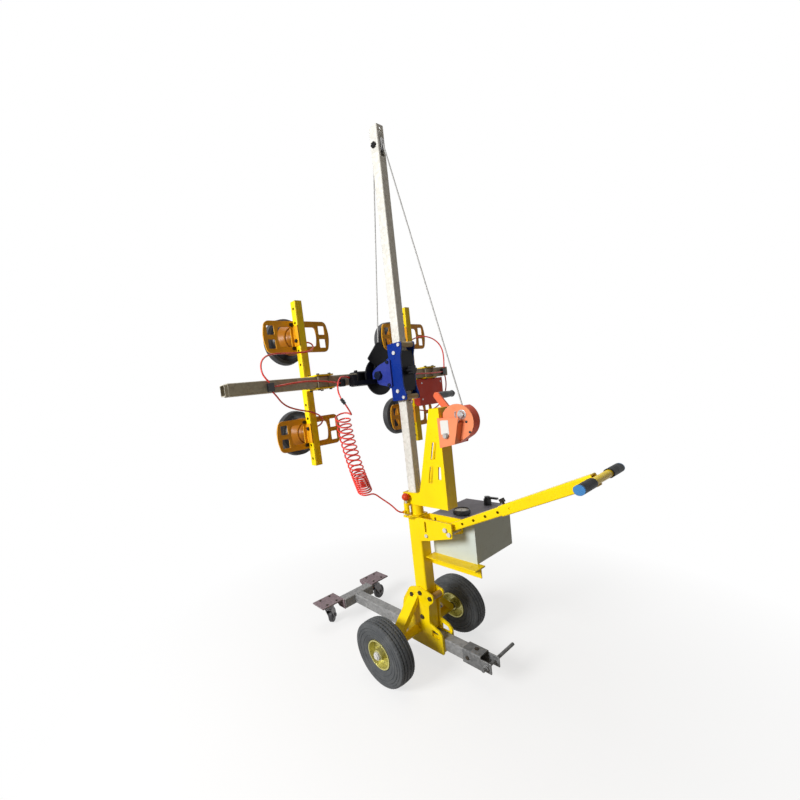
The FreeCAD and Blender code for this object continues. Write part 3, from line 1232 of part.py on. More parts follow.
def lock_knob():
    """The star knob that clamps the carriage to the mast, with its stud."""
    rear = COVER_REAR - KNOB_STAND_OFF
    lobes = []
    for index in range(KNOB_LOBES):
        angle = 2 * math.pi * index / KNOB_LOBES
        reach = KNOB_RADIUS - 5
        place = (reach * math.cos(angle), HEAD_Z + reach * math.sin(angle))
        lobes.append(rod("y", place, rear - KNOB_DEPTH, rear, 6))
    knob = rod("y", (0, HEAD_Z), rear - KNOB_DEPTH, rear, KNOB_RADIUS - 4).fuse(lobes)
    stud = rod("y", (0, HEAD_Z), rear, -MAST_HALF - GAP, KNOB_STUD)
    return [knob.fuse(stud).removeSplitter()]


# Tilting yoke and turning head

def tilt_yoke():
    """The block on the tilt pivot, with the index disc and the head's spindle."""
    half = CARRIAGE_OUTER - 1
    lug = rod("x", TILT_PIVOT, -half, half, YOKE_HALF)
    body = block((-half, half), (PIVOT_Y, DISC_REAR), (HEAD_Z - YOKE_HALF, HEAD_Z + YOKE_HALF))
    disc_front = DISC_REAR + DISC_THICKNESS
    disc = rod("y", (0, HEAD_Z), DISC_REAR, disc_front, DISC_RADIUS)
    spindle = rod("y", (0, HEAD_Z), disc_front, SLEEVE_REAR - GAP, HEAD_SPINDLE)
    yoke = lug.fuse([body, disc, spindle]).removeSplitter()
    return [yoke.cut(rod("x", TILT_PIVOT, -half - 1, half + 1, PIVOT_RADIUS + FIT))]


def beam_sleeve():
    """The black sleeve round the beam, with the hub that turns on the yoke's spindle."""
    wall = (SLEEVE_SIZE - BEAM_SIZE) / 2 - BEAM_FIT
    sleeve = square_tube("x", (BEAM_Y, HEAD_Z), SLEEVE_SIZE, wall, -SLEEVE_HALF, SLEEVE_HALF)
    hub_rear = DISC_REAR + DISC_THICKNESS + GAP
    hub = ring("y", (0, HEAD_Z), hub_rear, SLEEVE_REAR + 2, HUB_OUTER, HEAD_SPINDLE + FIT)
    hub = hub.fuse(rod("y", (0, HEAD_Z), SLEEVE_REAR, SLEEVE_REAR + 2, HUB_OUTER))
    sleeve = sleeve.fuse(hub).removeSplitter()
    screws = []
    for x in (-SLEEVE_HALF + 14, SLEEVE_HALF - 14):
        top = HEAD_Z + SLEEVE_SIZE / 2
        screws.append(hexagon("z", (x, BEAM_Y), top, top + 7, 8))
    return [sleeve] + screws


def beam_tube():
    return [square_tube("x", (BEAM_Y, HEAD_Z), BEAM_SIZE, BEAM_WALL, BEAM_LEFT, BEAM_RIGHT)]


def beam_extension():
    size = BEAM_SIZE - 2 * BEAM_WALL - 2 * BEAM_FIT
    low = BEAM_LEFT - EXTENSION_OUT
    return [square_tube("x", (BEAM_Y, HEAD_Z), size, BEAM_WALL, low, BEAM_LEFT + EXTENSION_IN)]


VALVE_BOX_X = (292.0, 478.0)
VALVE_BOX_Y = (162.0, 199.0)
VALVE_BOX_DROP = 130.0
VALVE_BOX_WALL = 2.0


def valve_box():
    """The open-topped sheet box hung under the right arm's clamp."""
    top = BEAM_BOTTOM - CLAMP_PLATE
    low = top - VALVE_BOX_DROP
    rear, front = VALVE_BOX_Y
    corners = [(rear, top), (front, top), (front, low + 18), (front - 14, low), (rear, low)]
    box = plate(corners, "x", VALVE_BOX_X[0], VALVE_BOX_X[1])
    wall = VALVE_BOX_WALL
    inner = [(rear + wall, top), (front - wall, top), (front - wall, low + 19), (front - 15, low + wall),
             (rear + wall, low + wall)]
    return [box.cut(plate(inner, "x", VALVE_BOX_X[0] + wall, VALVE_BOX_X[1] - wall))]


# Suction arms

def clamp_bolts(x):
    """Upright bolts through the clamp plates, before and behind the beam."""
    bolts = []
    low = BEAM_BOTTOM - CLAMP_PLATE
    high = BEAM_TOP + CLAMP_PLATE
    for dx in (-CLAMP_INSIDE + 12, CLAMP_OUTSIDE - 14):
        for y in (BEAM_REAR - 6, BEAM_FRONT + 8):
            bolts.append(("z", (x + dx, y), low, high, BOLT_RADIUS - 0.5))
    return bolts


def suction_arm(x):
    """The upright tube with its row of holes and the clamp that holds it on the beam."""
    arm = square_tube("z", (x, ARM_Y), ARM_SIZE, ARM_WALL, HEAD_Z - ARM_HALF, HEAD_Z + ARM_HALF)
    for side in (-1, 1):
        for index in range(ARM_HOLES - 1):
            z = HEAD_Z + side * (ARM_HALF - 30 - ARM_HOLE_PITCH * index)
            arm = arm.cut(rod("x", (ARM_Y, z), x - ARM_SIZE, x + ARM_SIZE, ARM_HOLE_RADIUS))
    low = BEAM_BOTTOM - CLAMP_PLATE
    high = BEAM_TOP + CLAMP_PLATE
    ends = (x - CLAMP_INSIDE, x + CLAMP_OUTSIDE)
    rear = BEAM_REAR - 14
    upper = block(ends, (rear, ARM_REAR), (BEAM_TOP, high))
    lower = block(ends, (rear, ARM_REAR), (low, BEAM_BOTTOM))
    bolts = clamp_bolts(x)
    solids = [arm, drilled(upper, bolts), drilled(lower, bolts)]
    return solids + [bolt(*spec) for spec in bolts]


def d_opening(x, z, side):
    """The finger opening and the two slots in one end of a handle plate."""
    near = x + side * (ARM_SIZE / 2 + 14)
    far = x + side * 98
    grip = [(near, z - 40, 4), (far - side * 8, z - 40, 12), (far, z, 90), (far - side * 8, z + 40, 12),
            (near, z + 40, 4)]
    slots = []
    for low, high in ((z - 46, z - 9), (z + 9, z + 46)):
        slots.append([(x + side * 108, low, 4), (x + side * 142, low, 4), (x + side * 142, high, 4),
                      (x + side * 108, high, 4)])
    return [grip] + slots


def cup_plates(x):
    """The handle plates on the arm, with the dished backs of the cups and the bolts between them."""
    solids = []
    for side in (-1, 1):
        z = HEAD_Z + side * CUP_OFFSET
        wide = HANDLE_HALF_WIDTH
        tall = HANDLE_HALF_HEIGHT
        corners = [(x - wide + 16, z - tall, 24), (x - wide, z, 140), (x - wide + 16, z + tall, 24),
                   (x + wide - 16, z + tall, 24), (x + wide, z, 140), (x + wide - 16, z - tall, 24)]
        handle = plate(corners, "y", ARM_FRONT, HANDLE_FRONT)
        for end in (-1, 1):
            for hole in d_opening(x, z, end):
                handle = handle.cut(plate(hole, "y", ARM_FRONT - 1, HANDLE_FRONT + 1))
        dish_front = HANDLE_FRONT + DISH_DEPTH
        profile = [(HANDLE_FRONT, 0), (HANDLE_FRONT, 30), (HANDLE_FRONT + 8, 34), (dish_front - 8, DISH_RADIUS - 8),
                   (dish_front, DISH_RADIUS), (dish_front, DISH_RADIUS - 7), (dish_front - 9, DISH_RADIUS - 14),
                   (HANDLE_FRONT + 12, 29), (HANDLE_FRONT + 5, 26), (HANDLE_FRONT + 5, 0)]
        across, _, height = cup_fitting(x, side)
        nipple = rod("y", (across, height), HANDLE_FRONT + 8, HANDLE_FRONT + 36, HOSE_RADIUS + 3)
        dish = turned("y", (x, z), profile).fuse(nipple).removeSplitter()
        solids.extend([handle, dish])
        for dx in (-27, 27):
            for dz in (-48, 48):
                place = (x + dx, z + dz)
                solids.append(hexagon("y", place, ARM_FRONT - 6, ARM_FRONT, 8))
        edge = x - ARM_SIZE / 2
        solids.append(block((edge - 3, edge), (ARM_REAR, ARM_FRONT), (z - 40, z + 40)))
        solids.append(hexagon("x", (ARM_Y, z - side * 20), edge - 9, edge - 3, 8))
    return solids


def cup_rubbers(x):
    """The rubber cups: a thick ring with a hollow face and a sealing lip."""
    solids = []
    back = HANDLE_FRONT + DISH_DEPTH
    hollow = 14.0
    for side in (-1, 1):
        z = HEAD_Z + side * CUP_OFFSET
        profile = [(back, 0), (back, DISH_RADIUS), (back + 4, CUP_RADIUS - 4), (LIP_Y - 4, CUP_RADIUS),
                   (LIP_Y, CUP_RADIUS - 2), (LIP_Y, CUP_RADIUS - 16), (LIP_Y - hollow, CUP_RADIUS - 28),
                   (LIP_Y - hollow, 0)]
        solids.append(turned("y", (x, z), profile))
    return solids


# Vacuum hoses

LEFT_TEE = (-528.0, BEAM_REAR - 10, HEAD_Z - 4)
RIGHT_TEE = (478.0, BEAM_REAR - 10, HEAD_Z - 2)
HEAD_FITTING = (-196.0, BEAM_REAR - 10, HEAD_Z - 12)
HEAD_FITTING_RIGHT = (164.0, BEAM_REAR - 10, HEAD_Z - 5)
TEE_HALF = 11.0


def coil_drop(turn):
    """How far the helix has dropped: open turns first, then close ones."""
    middle = (COIL_OPEN_PITCH + COIL_TIGHT_PITCH) / 2
    swing = (COIL_OPEN_PITCH - COIL_TIGHT_PITCH) / 2
    now = math.log(math.cosh((turn - COIL_OPEN_TURNS) / COIL_CHANGE))
    first = math.log(math.cosh(COIL_OPEN_TURNS / COIL_CHANGE))
    return middle * turn - swing * COIL_CHANGE * (now - first)


def coil_place(turn):
    """A curl's place on a helix round a leaning axis."""
    share = coil_drop(turn) / (COIL_TOP[2] - COIL_FOOT[2])
    lean = math.copysign(abs(share) ** COIL_BEND, share)
    x = COIL_TOP[0] + (COIL_FOOT[0] - COIL_TOP[0]) * lean
    y = COIL_TOP[1] + (COIL_FOOT[1] - COIL_TOP[1]) * share
    z = COIL_TOP[2] - coil_drop(turn)
    angle = math.radians(COIL_TURN_START) + 2 * math.pi * turn
    return FreeCAD.Vector(x + COIL_RADIUS * math.cos(angle), y + COIL_RADIUS * math.sin(angle), z)


def cup_fitting(x, side):
    """Where a hose enters the back of a cup, beside its arm."""
    return (x + 41, HANDLE_FRONT + 8 - END_GAP, HEAD_Z + side * (CUP_OFFSET - 20))


LEFT_UPPER = [(-531.0, 148.0, 1249.6), (-549.0, 152.0, 1270.0), (-552.0, 160.0, 1298.0), (-543.0, 170.0, 1324.0),
              (-521.0, 182.0, 1344.0), (-490.0, 196.0, 1355.0), (-452.0, 208.0, 1361.0), (-405.0, 217.0, 1363.0),
              (-352.0, 221.0, 1363.0), (-305.0, 222.0, 1366.0), (-270.0, 226.0, 1374.0), (-250.0, 240.0, 1394.0),
              (-257.0, 258.0, 1412.0), cup_fitting(ARM_LEFT, 1)]
LEFT_LOWER = [(-524.0, 148.0, 1214.4), (-508.0, 153.0, 1200.0), (-489.0, 162.0, 1178.0), (-460.0, 174.0, 1159.0),
              (-424.0, 186.0, 1146.0), (-382.0, 200.0, 1136.0), (-340.0, 214.0, 1128.0), (-302.0, 222.0, 1118.0),
              (-270.0, 228.0, 1102.0), (-250.0, 240.0, 1080.0), (-257.0, 258.0, 1060.0), cup_fitting(ARM_LEFT, -1)]
RIGHT_UPPER = [(485.0, 148.0, 1250.6), (494.0, 152.0, 1276.0), (505.0, 158.0, 1308.0), (515.0, 168.0, 1344.0),
               (512.0, 182.0, 1380.0), (490.0, 196.0, 1407.0), (458.0, 208.0, 1422.0), (428.0, 220.0, 1427.0),
               (404.0, 236.0, 1424.0), (392.0, 257.0, 1418.0), cup_fitting(ARM_RIGHT, 1)]
RIGHT_LOWER = [(485.0, 148.0, 1217.2), (496.0, 152.0, 1194.0), (506.0, 160.0, 1162.0), (508.0, 172.0, 1124.0),
               (498.0, 186.0, 1088.0), (474.0, 200.0, 1060.0), (444.0, 216.0, 1046.0), (414.0, 234.0, 1045.0),
               (395.0, 256.0, 1052.0), cup_fitting(ARM_RIGHT, -1)]
BEAM_LEFT_RUN = [(-516.2, 148.0, 1233.0), (-478.0, 144.5, 1236.0), (-430.0, 142.5, 1240.0), (-380.0, 142.5, 1242.0),
                 (-330.0, 142.5, 1240.0), (-282.0, 142.5, 1235.0), (-238.0, 140.5, 1228.0), (-208.0, 147.0, 1224.0)]
BEAM_RIGHT_RUN = [(466.2, 148.0, 1233.0), (440.0, 141.0, 1231.0), (386.0, 142.0, 1230.0), (338.0, 142.5, 1231.0),
                  (290.0, 142.5, 1233.0), (242.0, 142.0, 1234.0), (208.0, 145.5, 1233.0), (176.0, 148.5, 1231.0)]


def vacuum_hoses():
    """The hoses along the beam and the loops from the tees to the cups."""
    routes = {"left upper": LEFT_UPPER, "left lower": LEFT_LOWER, "right upper": RIGHT_UPPER,
              "right lower": RIGHT_LOWER, "beam left": BEAM_LEFT_RUN, "beam right": BEAM_RIGHT_RUN}
    return [cord(route, HOSE_RADIUS, label) for label, route in routes.items()]


def hose_fittings():
    """Tees on the beam and the elbow where the supply enters it."""
    solids = []
    for x, y, z in (LEFT_TEE, RIGHT_TEE, HEAD_FITTING, HEAD_FITTING_RIGHT):
        body = block((x - TEE_HALF, x + TEE_HALF), (y - 6, BEAM_REAR), (z - TEE_HALF - 4, z + TEE_HALF + 4))
        solids.append(body)
    return solids


CONNECTOR_RADIUS = 7.0
LEAD = [LEAD_FITTING, (-204.0, 121.0, 1248.0), (-229.0, 118.0, 1244.0), (-249.0, 110.0, 1227.0),
        (-267.0, 95.0, 1205.0), (-280.0, 79.0, 1182.0), (-280.0, 67.0, 1159.0)]
CONNECTOR_END = (-268.0, 62.0, 1138.0)
COIL_APPROACH = 38.0
TAIL_APPROACH = 20.0
TAIL_GAP = 0.6


def hose_lead():
    """The short hose from the carriage's fitting to the coupling, and the coupling itself."""
    start = FreeCAD.Vector(*LEAD[-1])
    along = FreeCAD.Vector(*CONNECTOR_END) - start
    length = along.Length - 2 * END_GAP
    along.normalize()
    coupling = Part.makeCylinder(CONNECTOR_RADIUS, length, start + along * END_GAP, along)
    return [cord(LEAD, HOSE_RADIUS, "lead"), coupling]


def hose_coil():
    """The coiled hose, and the neck that leads from the coupling into it."""
    tube, start, _ = winding(coil_place, COIL_TURNS, HOSE_RADIUS, "hose coil")
    way = coil_place(0.001) - coil_place(-0.001)
    way.normalize()
    corner = start - way * COIL_APPROACH
    neck = cord([CONNECTOR_END, tuple(corner), tuple(start)], HOSE_RADIUS, "neck")
    return [tube.fuse(neck).removeSplitter()]


def hose_tail():
    """The slack run from the coil's foot to the nipple on the plunger's sleeve."""
    way = coil_place(COIL_TURNS + 0.001) - coil_place(COIL_TURNS - 0.001)
    way.normalize()
    start = coil_place(COIL_TURNS) + way * 2 * HOSE_RADIUS
    corner = start + way * TAIL_APPROACH
    end = (FOOT_FITTING[0] - TAIL_GAP, *FOOT_FITTING[1:])
    points = [tuple(start), tuple(corner), (-152.0, 48.0, 740.0), (-114.0, 30.0, 703.0), (-92.0, 16.0, 668.0), end]
    return [cord(points, HOSE_RADIUS, "tail")]


NODES = {
    "leg_frame": leg_frame, "caster_brackets": caster_brackets, "base_channel": base_channel,
    "pivot_cheeks": pivot_cheeks, "axle_supports": axle_supports, "rear_coupler": rear_coupler,
    "frame_fasteners": frame_fasteners, "lower_post": lower_post, "box_shelf": box_shelf,
    "vacuum_box": vacuum_box, "box_lid": box_lid, "battery": battery, "vacuum_pump": vacuum_pump,
    "vacuum_gauge": vacuum_gauge, "valve_lever": valve_lever, "drawbar_bracket": drawbar_bracket,
    "tyre_left": lambda: tyre(-1), "rim_left": lambda: rim(-1),
    "tyre_right": lambda: tyre(1), "rim_right": lambda: rim(1),
    "caster_fork_left": lambda: caster_fork(-1, CASTER_TURN_LEFT),
    "caster_wheel_left": lambda: caster_wheel(-1, CASTER_TURN_LEFT),
    "caster_fork_right": lambda: caster_fork(1, CASTER_TURN_RIGHT),
    "caster_wheel_right": lambda: caster_wheel(1, CASTER_TURN_RIGHT),
    "drawbar_bar": drawbar_bar, "drawbar_sleeve": drawbar_sleeve, "handle_grips": handle_grips,
    "swivel_foot": swivel_foot, "winch_tower": winch_tower, "mast_tube": mast_tube,
    "winch_frame": winch_frame, "mast_fasteners": mast_fasteners, "lock_plunger": lock_plunger,
    "winch_drum": winch_drum, "winch_crank": winch_crank, "crank_grip": crank_grip,
    "mast_sheave": mast_sheave, "rope_rear_fall": rope_rear_fall, "rope_front_fall": rope_front_fall,
    "rope_winding": rope_winding, "carriage_plates": carriage_plates, "carriage_guides": carriage_guides,
    "carriage_brackets": carriage_brackets, "lock_knob": lock_knob, "tilt_yoke": tilt_yoke,
    "beam_sleeve": beam_sleeve, "beam_tube": beam_tube, "beam_extension": beam_extension,
    "valve_box": valve_box,
    "suction_arm_left": lambda: suction_arm(ARM_LEFT), "suction_arm_right": lambda: suction_arm(ARM_RIGHT),
    "cup_plates_left": lambda: cup_plates(ARM_LEFT), "cup_plates_right": lambda: cup_plates(ARM_RIGHT),
    "cup_rubbers_left": lambda: cup_rubbers(ARM_LEFT), "cup_rubbers_right": lambda: cup_rubbers(ARM_RIGHT),
    "vacuum_hoses": vacuum_hoses, "hose_fittings": hose_fittings, "hose_lead": hose_lead,
    "hose_coil": hose_coil, "hose_tail": hose_tail,
}


def main():
    os.makedirs("parts", exist_ok=True)
    for name, make in NODES.items():
        solids = make()
        shape = solids[0] if len(solids) == 1 else Part.makeCompound(solids)
        count = len(shape.Solids)
        if not shape.isValid() or count != len(solids):
            print("check", name, "valid", shape.isValid(), "solids", count, "of", len(solids))
        shape.exportStep(os.path.join("parts", name + ".step"))


main()
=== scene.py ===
import math
import bmesh
import bpy
from mathutils import Matrix, Vector


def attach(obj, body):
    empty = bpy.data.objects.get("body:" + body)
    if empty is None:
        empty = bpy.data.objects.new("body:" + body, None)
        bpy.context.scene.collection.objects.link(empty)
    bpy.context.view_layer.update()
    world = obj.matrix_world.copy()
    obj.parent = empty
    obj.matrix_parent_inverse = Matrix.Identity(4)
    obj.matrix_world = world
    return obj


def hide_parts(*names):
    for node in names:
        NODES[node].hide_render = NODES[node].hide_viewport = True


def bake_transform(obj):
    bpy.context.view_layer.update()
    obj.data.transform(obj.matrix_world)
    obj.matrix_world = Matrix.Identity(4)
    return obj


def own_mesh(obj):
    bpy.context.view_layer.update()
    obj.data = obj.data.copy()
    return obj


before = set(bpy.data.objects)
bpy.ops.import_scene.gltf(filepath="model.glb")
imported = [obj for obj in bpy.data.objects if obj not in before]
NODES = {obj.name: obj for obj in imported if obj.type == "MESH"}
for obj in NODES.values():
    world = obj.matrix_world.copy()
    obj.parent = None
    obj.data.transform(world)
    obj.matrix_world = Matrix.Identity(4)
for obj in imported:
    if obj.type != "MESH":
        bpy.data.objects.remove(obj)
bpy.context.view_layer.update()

scene = bpy.context.scene
scene.view_settings.view_transform = "Standard"


def place_object(name, data):
    """A new object in the scene."""
    piece = bpy.data.objects.new(name, data)
    scene.collection.objects.link(piece)
    return piece


# Camera, fitted to the photograph: place in metres, angles in degrees, image 800 pixels square

IMAGE = 800.0
FOCAL_PX = 373.5
CENTRE_PX = (315.9, 441.5)
CAMERA_PLACE = Vector((-1.188, -1.0402, 1.1453))
YAW = math.radians(34.7)
PITCH = math.radians(5.41)
ROLL = math.radians(7.55)
SENSOR = 36.0
NEAREST = 0.05


def make_camera():
    ahead = Vector((math.sin(YAW) * math.cos(PITCH), math.cos(YAW) * math.cos(PITCH), -math.sin(PITCH)))
    right = Vector((math.cos(YAW), -math.sin(YAW), 0.0))
    down = ahead.cross(right)
    across = right * math.cos(ROLL) + down * math.sin(ROLL)
    below = down * math.cos(ROLL) - right * math.sin(ROLL)
    data = bpy.data.cameras.new("camera")
    data.sensor_width = SENSOR
    data.lens = SENSOR * FOCAL_PX / IMAGE
    data.shift_x = (IMAGE / 2 - CENTRE_PX[0]) / IMAGE
    data.shift_y = (CENTRE_PX[1] - IMAGE / 2) / IMAGE
    data.clip_start = NEAREST
    scene.camera = place_object("camera", data)
    turn = Matrix((across, -below, -ahead)).transposed()
    scene.camera.matrix_world = Matrix.Translation(CAMERA_PLACE) @ turn.to_4x4()


# Materials

def linear(rgb):
    """Linear colour from 0-255 screen values."""
    values = []
    for part in rgb:
        share = part / 255.0
        values.append(share / 12.92 if share <= 0.04045 else ((share + 0.055) / 1.055) ** 2.4)
    return (*values, 1.0)


EDGE_NONE = 0.99
EDGE_FULL = 0.82


class Nodes:
    """A small helper that adds and links shader nodes."""

    def __init__(self, name):
        self.material = bpy.data.materials.new(name)
        self.material.use_nodes = True
        self.tree = self.material.node_tree
        self.shader = self.tree.nodes["Principled BSDF"]
        self.place = self.add("ShaderNodeTexCoord").outputs["Object"]

    def add(self, kind, **settings):
        node = self.tree.nodes.new(kind)
        for key, value in settings.items():
            setattr(node, key, value)
        return node

    def link(self, source, target):
        self.tree.links.new(source, target)

    def noise(self, scale, detail=4.0, rough=0.55):
        node = self.add("ShaderNodeTexNoise")
        node.inputs["Scale"].default_value = scale
        node.inputs["Detail"].default_value = detail
        node.inputs["Roughness"].default_value = rough
        self.link(self.place, node.inputs["Vector"])
        return node.outputs["Fac"]

    def spread(self, source, low, high, out_low=0.0, out_high=1.0):
        node = self.add("ShaderNodeMapRange")
        node.inputs["From Min"].default_value = low
        node.inputs["From Max"].default_value = high
        node.inputs["To Min"].default_value = out_low
        node.inputs["To Max"].default_value = out_high
        self.link(source, node.inputs["Value"])
        return node.outputs["Result"]

    def maths(self, kind, first, second=None):
        node = self.add("ShaderNodeMath", operation=kind)
        for index, value in enumerate((first, second)):
            if value is None:
                continue
            if isinstance(value, (int, float)):
                node.inputs[index].default_value = value
            else:
                self.link(value, node.inputs[index])
        return node.outputs[0]

    def times(self, first, second):
        return self.maths("MULTIPLY", first, second)

    def above(self, value, limit):
        return self.maths("GREATER_THAN", value, limit)

    def mix(self, share, first, second, kind="MIX"):
        node = self.add("ShaderNodeMix", data_type="RGBA", blend_type=kind)
        self.link(share, node.inputs["Factor"])
        for name, value in (("A", first), ("B", second)):
            socket = [s for s in node.inputs if s.name == name and s.type == "RGBA"][0]
            if isinstance(value, tuple):
                socket.default_value = value
            else:
                self.link(value, socket)
        return [s for s in node.outputs if s.type == "RGBA"][0]

    def axis(self, letter):
        node = self.add("ShaderNodeSeparateXYZ")
        self.link(self.place, node.inputs[0])
        return node.outputs[letter]

    def edge(self, radius):
        """A share that is 1 near a sharp edge and 0 elsewhere, and the rounded normal."""
        bevel = self.add("ShaderNodeBevel", samples=4)
        bevel.inputs["Radius"].default_value = radius
        flat = self.add("ShaderNodeNewGeometry").outputs["Normal"]
        dot = self.add("ShaderNodeVectorMath", operation="DOT_PRODUCT")
        self.link(bevel.outputs["Normal"], dot.inputs[0])
        self.link(flat, dot.inputs[1])
        return self.spread(dot.outputs["Value"], EDGE_NONE, EDGE_FULL), bevel.outputs["Normal"]

    def bump(self, height, strength, distance, normal=None):
        node = self.add("ShaderNodeBump")
        node.inputs["Strength"].default_value = strength
        node.inputs["Distance"].default_value = distance
        self.link(height, node.inputs["Height"])
        if normal is not None:
            self.link(normal, node.inputs["Normal"])
        self.link(node.outputs["Normal"], self.shader.inputs["Normal"])

    def colour(self, source):
        self.link(source, self.shader.inputs["Base Color"])

    def roughness(self, cloud, low, high):
        self.link(self.spread(cloud, 0.3, 0.7, low, high), self.shader.inputs["Roughness"])

    def set(self, name, value):
        self.shader.inputs[name].default_value = value


GRIME = (0.34, 0.3, 0.24, 1.0)
TARNISH = (0.35, 0.35, 0.35, 1.0)
# Light grey painted on the sharp edges of galvanised parts as a painted highlight
ZINC_EDGE_HIGHLIGHT = (226, 227, 226)
BLOOM = 22
COAT_SHARE = 0.23
HOSE_RED = (238, 62, 44)
HOSE_DEEP_RED = (214, 40, 30)
ROPE_LIGHT = (176, 176, 175)
ROPE_DARK = (152, 152, 152)


def paint(name, colour, shade, rough=0.34, wear=0.55, bare=(96, 92, 88), split=None, shine=0.18):
    """Sprayed gloss paint: cloudy tone, grime, chipped edges and orange peel."""
    n = Nodes(name)
    tone = n.spread(n.noise(scale=7.0, detail=5.0), 0.35, 0.72)
    base = linear(colour)
    deeper = tuple(min(1.0, dark / max(light, 0.001)) for dark, light in zip(linear(shade), base))
    if split is not None:
        base = split(n, base)
    body = n.mix(n.times(tone, 0.5), base, deeper, "MULTIPLY")
    grime = n.spread(n.noise(scale=46.0, detail=7.0, rough=0.65), 0.58, 0.8, 0.0, 0.3)
    body = n.mix(grime, body, GRIME, "MULTIPLY")
    near, normal = n.edge(radius=0.0022)
    chips = n.spread(n.noise(scale=150.0, detail=6.0, rough=0.7), 0.53, 0.6)
    worn = n.times(n.times(near, chips), wear)
    n.colour(n.mix(worn, body, linear(bare)))
    n.roughness(n.noise(scale=30.0), rough - 0.07, rough + 0.1)
    n.bump(n.noise(scale=650.0, detail=2.0), strength=0.12, distance=0.0004, normal=normal)
    n.set("Specular IOR Level", shine)
    n.set("Coat Weight", shine * COAT_SHARE)
    n.set("Coat Roughness", 0.12)
    return n.material


def galvanised(name, light, dark):
    """Hot-dip zinc: crystals of differing grey, white bloom, a dull shine and a painted highlight on sharp
    edges.
    """
    n = Nodes(name)
    cells = n.add("ShaderNodeTexVoronoi")
    cells.inputs["Scale"].default_value = 110.0
    n.link(n.place, cells.inputs["Vector"])
    grain = n.add("ShaderNodeSeparateColor")
    n.link(cells.outputs["Color"], grain.inputs[0])
    crystal = n.mix(grain.outputs[0], linear(dark), linear(light))
    bloom = n.spread(n.noise(scale=11.0, detail=6.0, rough=0.6), 0.5, 0.75, 0.0, 0.3)
    body = n.mix(bloom, crystal, linear([min(255, part + BLOOM) for part in light]))
    near, normal = n.edge(radius=0.002)
    # Sharp edges are mixed towards a light grey: a painted highlight
    n.colour(n.mix(n.times(near, 0.6), body, linear(ZINC_EDGE_HIGHLIGHT)))
    n.link(n.spread(grain.outputs[1], 0.0, 1.0, 0.4, 0.56), n.shader.inputs["Roughness"])
    n.set("Specular IOR Level", 0.2)
    n.bump(n.noise(scale=260.0, detail=3.0), strength=0.1, distance=0.0004, normal=normal)
    n.set("Metallic", 0.08)
    return n.material


def plated(name, colour, rough=0.28, metal=0.9, split=None):
    """Zinc plate: bright, lightly brushed and slightly tarnished."""
    n = Nodes(name)
    tarnish = n.spread(n.noise(scale=60.0, detail=6.0, rough=0.6), 0.45, 0.75)
    base = linear(colour)
    if split is not None:
        base = split(n, base)
    n.colour(n.mix(n.times(tarnish, 0.5), base, TARNISH, "MULTIPLY"))
    n.roughness(n.noise(scale=140.0), rough - 0.08, rough + 0.12)
    _, normal = n.edge(radius=0.001)
    n.bump(n.noise(scale=420.0, detail=3.0), strength=0.08, distance=0.0003, normal=normal)
    n.set("Metallic", metal)
    return n.material


def rubber(name, colour, dust, rough=0.72, dusty=0.4):
    """Rubber or matt plastic with dust in its pores."""
    n = Nodes(name)
    film = n.spread(n.noise(scale=24.0, detail=6.0, rough=0.6), 0.42, 0.75, 0.0, dusty)
    n.colour(n.mix(film, linear(colour), linear(dust)))
    n.roughness(n.noise(scale=70.0), rough - 0.1, rough + 0.1)
    _, normal = n.edge(radius=0.0015)
    n.bump(n.noise(scale=900.0, detail=3.0), strength=0.2, distance=0.0003, normal=normal)
    return n.material


def hose_material():
    """Polyurethane hose: glossy, slightly cloudy red."""
    n = Nodes("hose_red")
    cloud = n.spread(n.noise(scale=40.0, detail=4.0), 0.35, 0.7)
    n.colour(n.mix(cloud, linear(HOSE_RED), linear(HOSE_DEEP_RED)))
    n.roughness(n.noise(scale=90.0), 0.2, 0.32)
    n.bump(n.noise(scale=500.0, detail=2.0), strength=0.05, distance=0.0003)
    n.set("Subsurface Weight", 0.12)
    n.set("Subsurface Radius", (0.004, 0.001, 0.001))
    return n.material


def rope_material():
    """Steel wire: dull grey, darker in patches."""
    n = Nodes("rope_steel")
    patches = n.spread(n.noise(scale=200.0, detail=5.0), 0.4, 0.7)
    n.colour(n.mix(patches, linear(ROPE_LIGHT), linear(ROPE_DARK)))
    n.roughness(n.noise(scale=300.0), 0.34, 0.5)
    n.set("Metallic", 0.1)
    return n.material


# Places in metres: the head and its arms, and where the colour changes within one piece

HEAD_Z = 1.236
CUP_OFFSET = 0.2
ARM_LEFT = -0.304
ARM_RIGHT = 0.350
ARMS = (("left", ARM_LEFT), ("right", ARM_RIGHT))
LEVELS = (("upper", 1), ("lower", -1))
ARM_Y = 0.2485
ARM_INSIDE = 0.0168
PLATE_REAR = 0.2658
PLATE_BOLTS_OUT = 0.0206
DISH_REAR = 0.2726
HUB_REACH = 0.066
CLAMP_FRONT = 0.2305
CLAMP_SHANKS_END = 0.0224
CLAMP_HEADS_START = 0.0286
BAR_RISE = math.radians(25.6)
BAR_PIVOT = (-0.158, 0.612)
BAR_HALF = 0.0184
AXLE_START = 0.209
AXLES_FRONT = 0.3
DRAWBAR_BOLTS_LOW = 0.5
GUARD_SIDE = -0.0088
GUIDE_PLATE_OUT = 0.0338
CLEVIS_REAR = 0.012
CARRIAGE_OUT = 0.0403
PINS_LOW = 1.5
CRANK_BEND = 0.068
GRIP_CAPS = 0.1393
PLUNGER_BALL = 0.7085
CHEEK_OUT = 0.0299
KNOB_FRONT = -0.0405

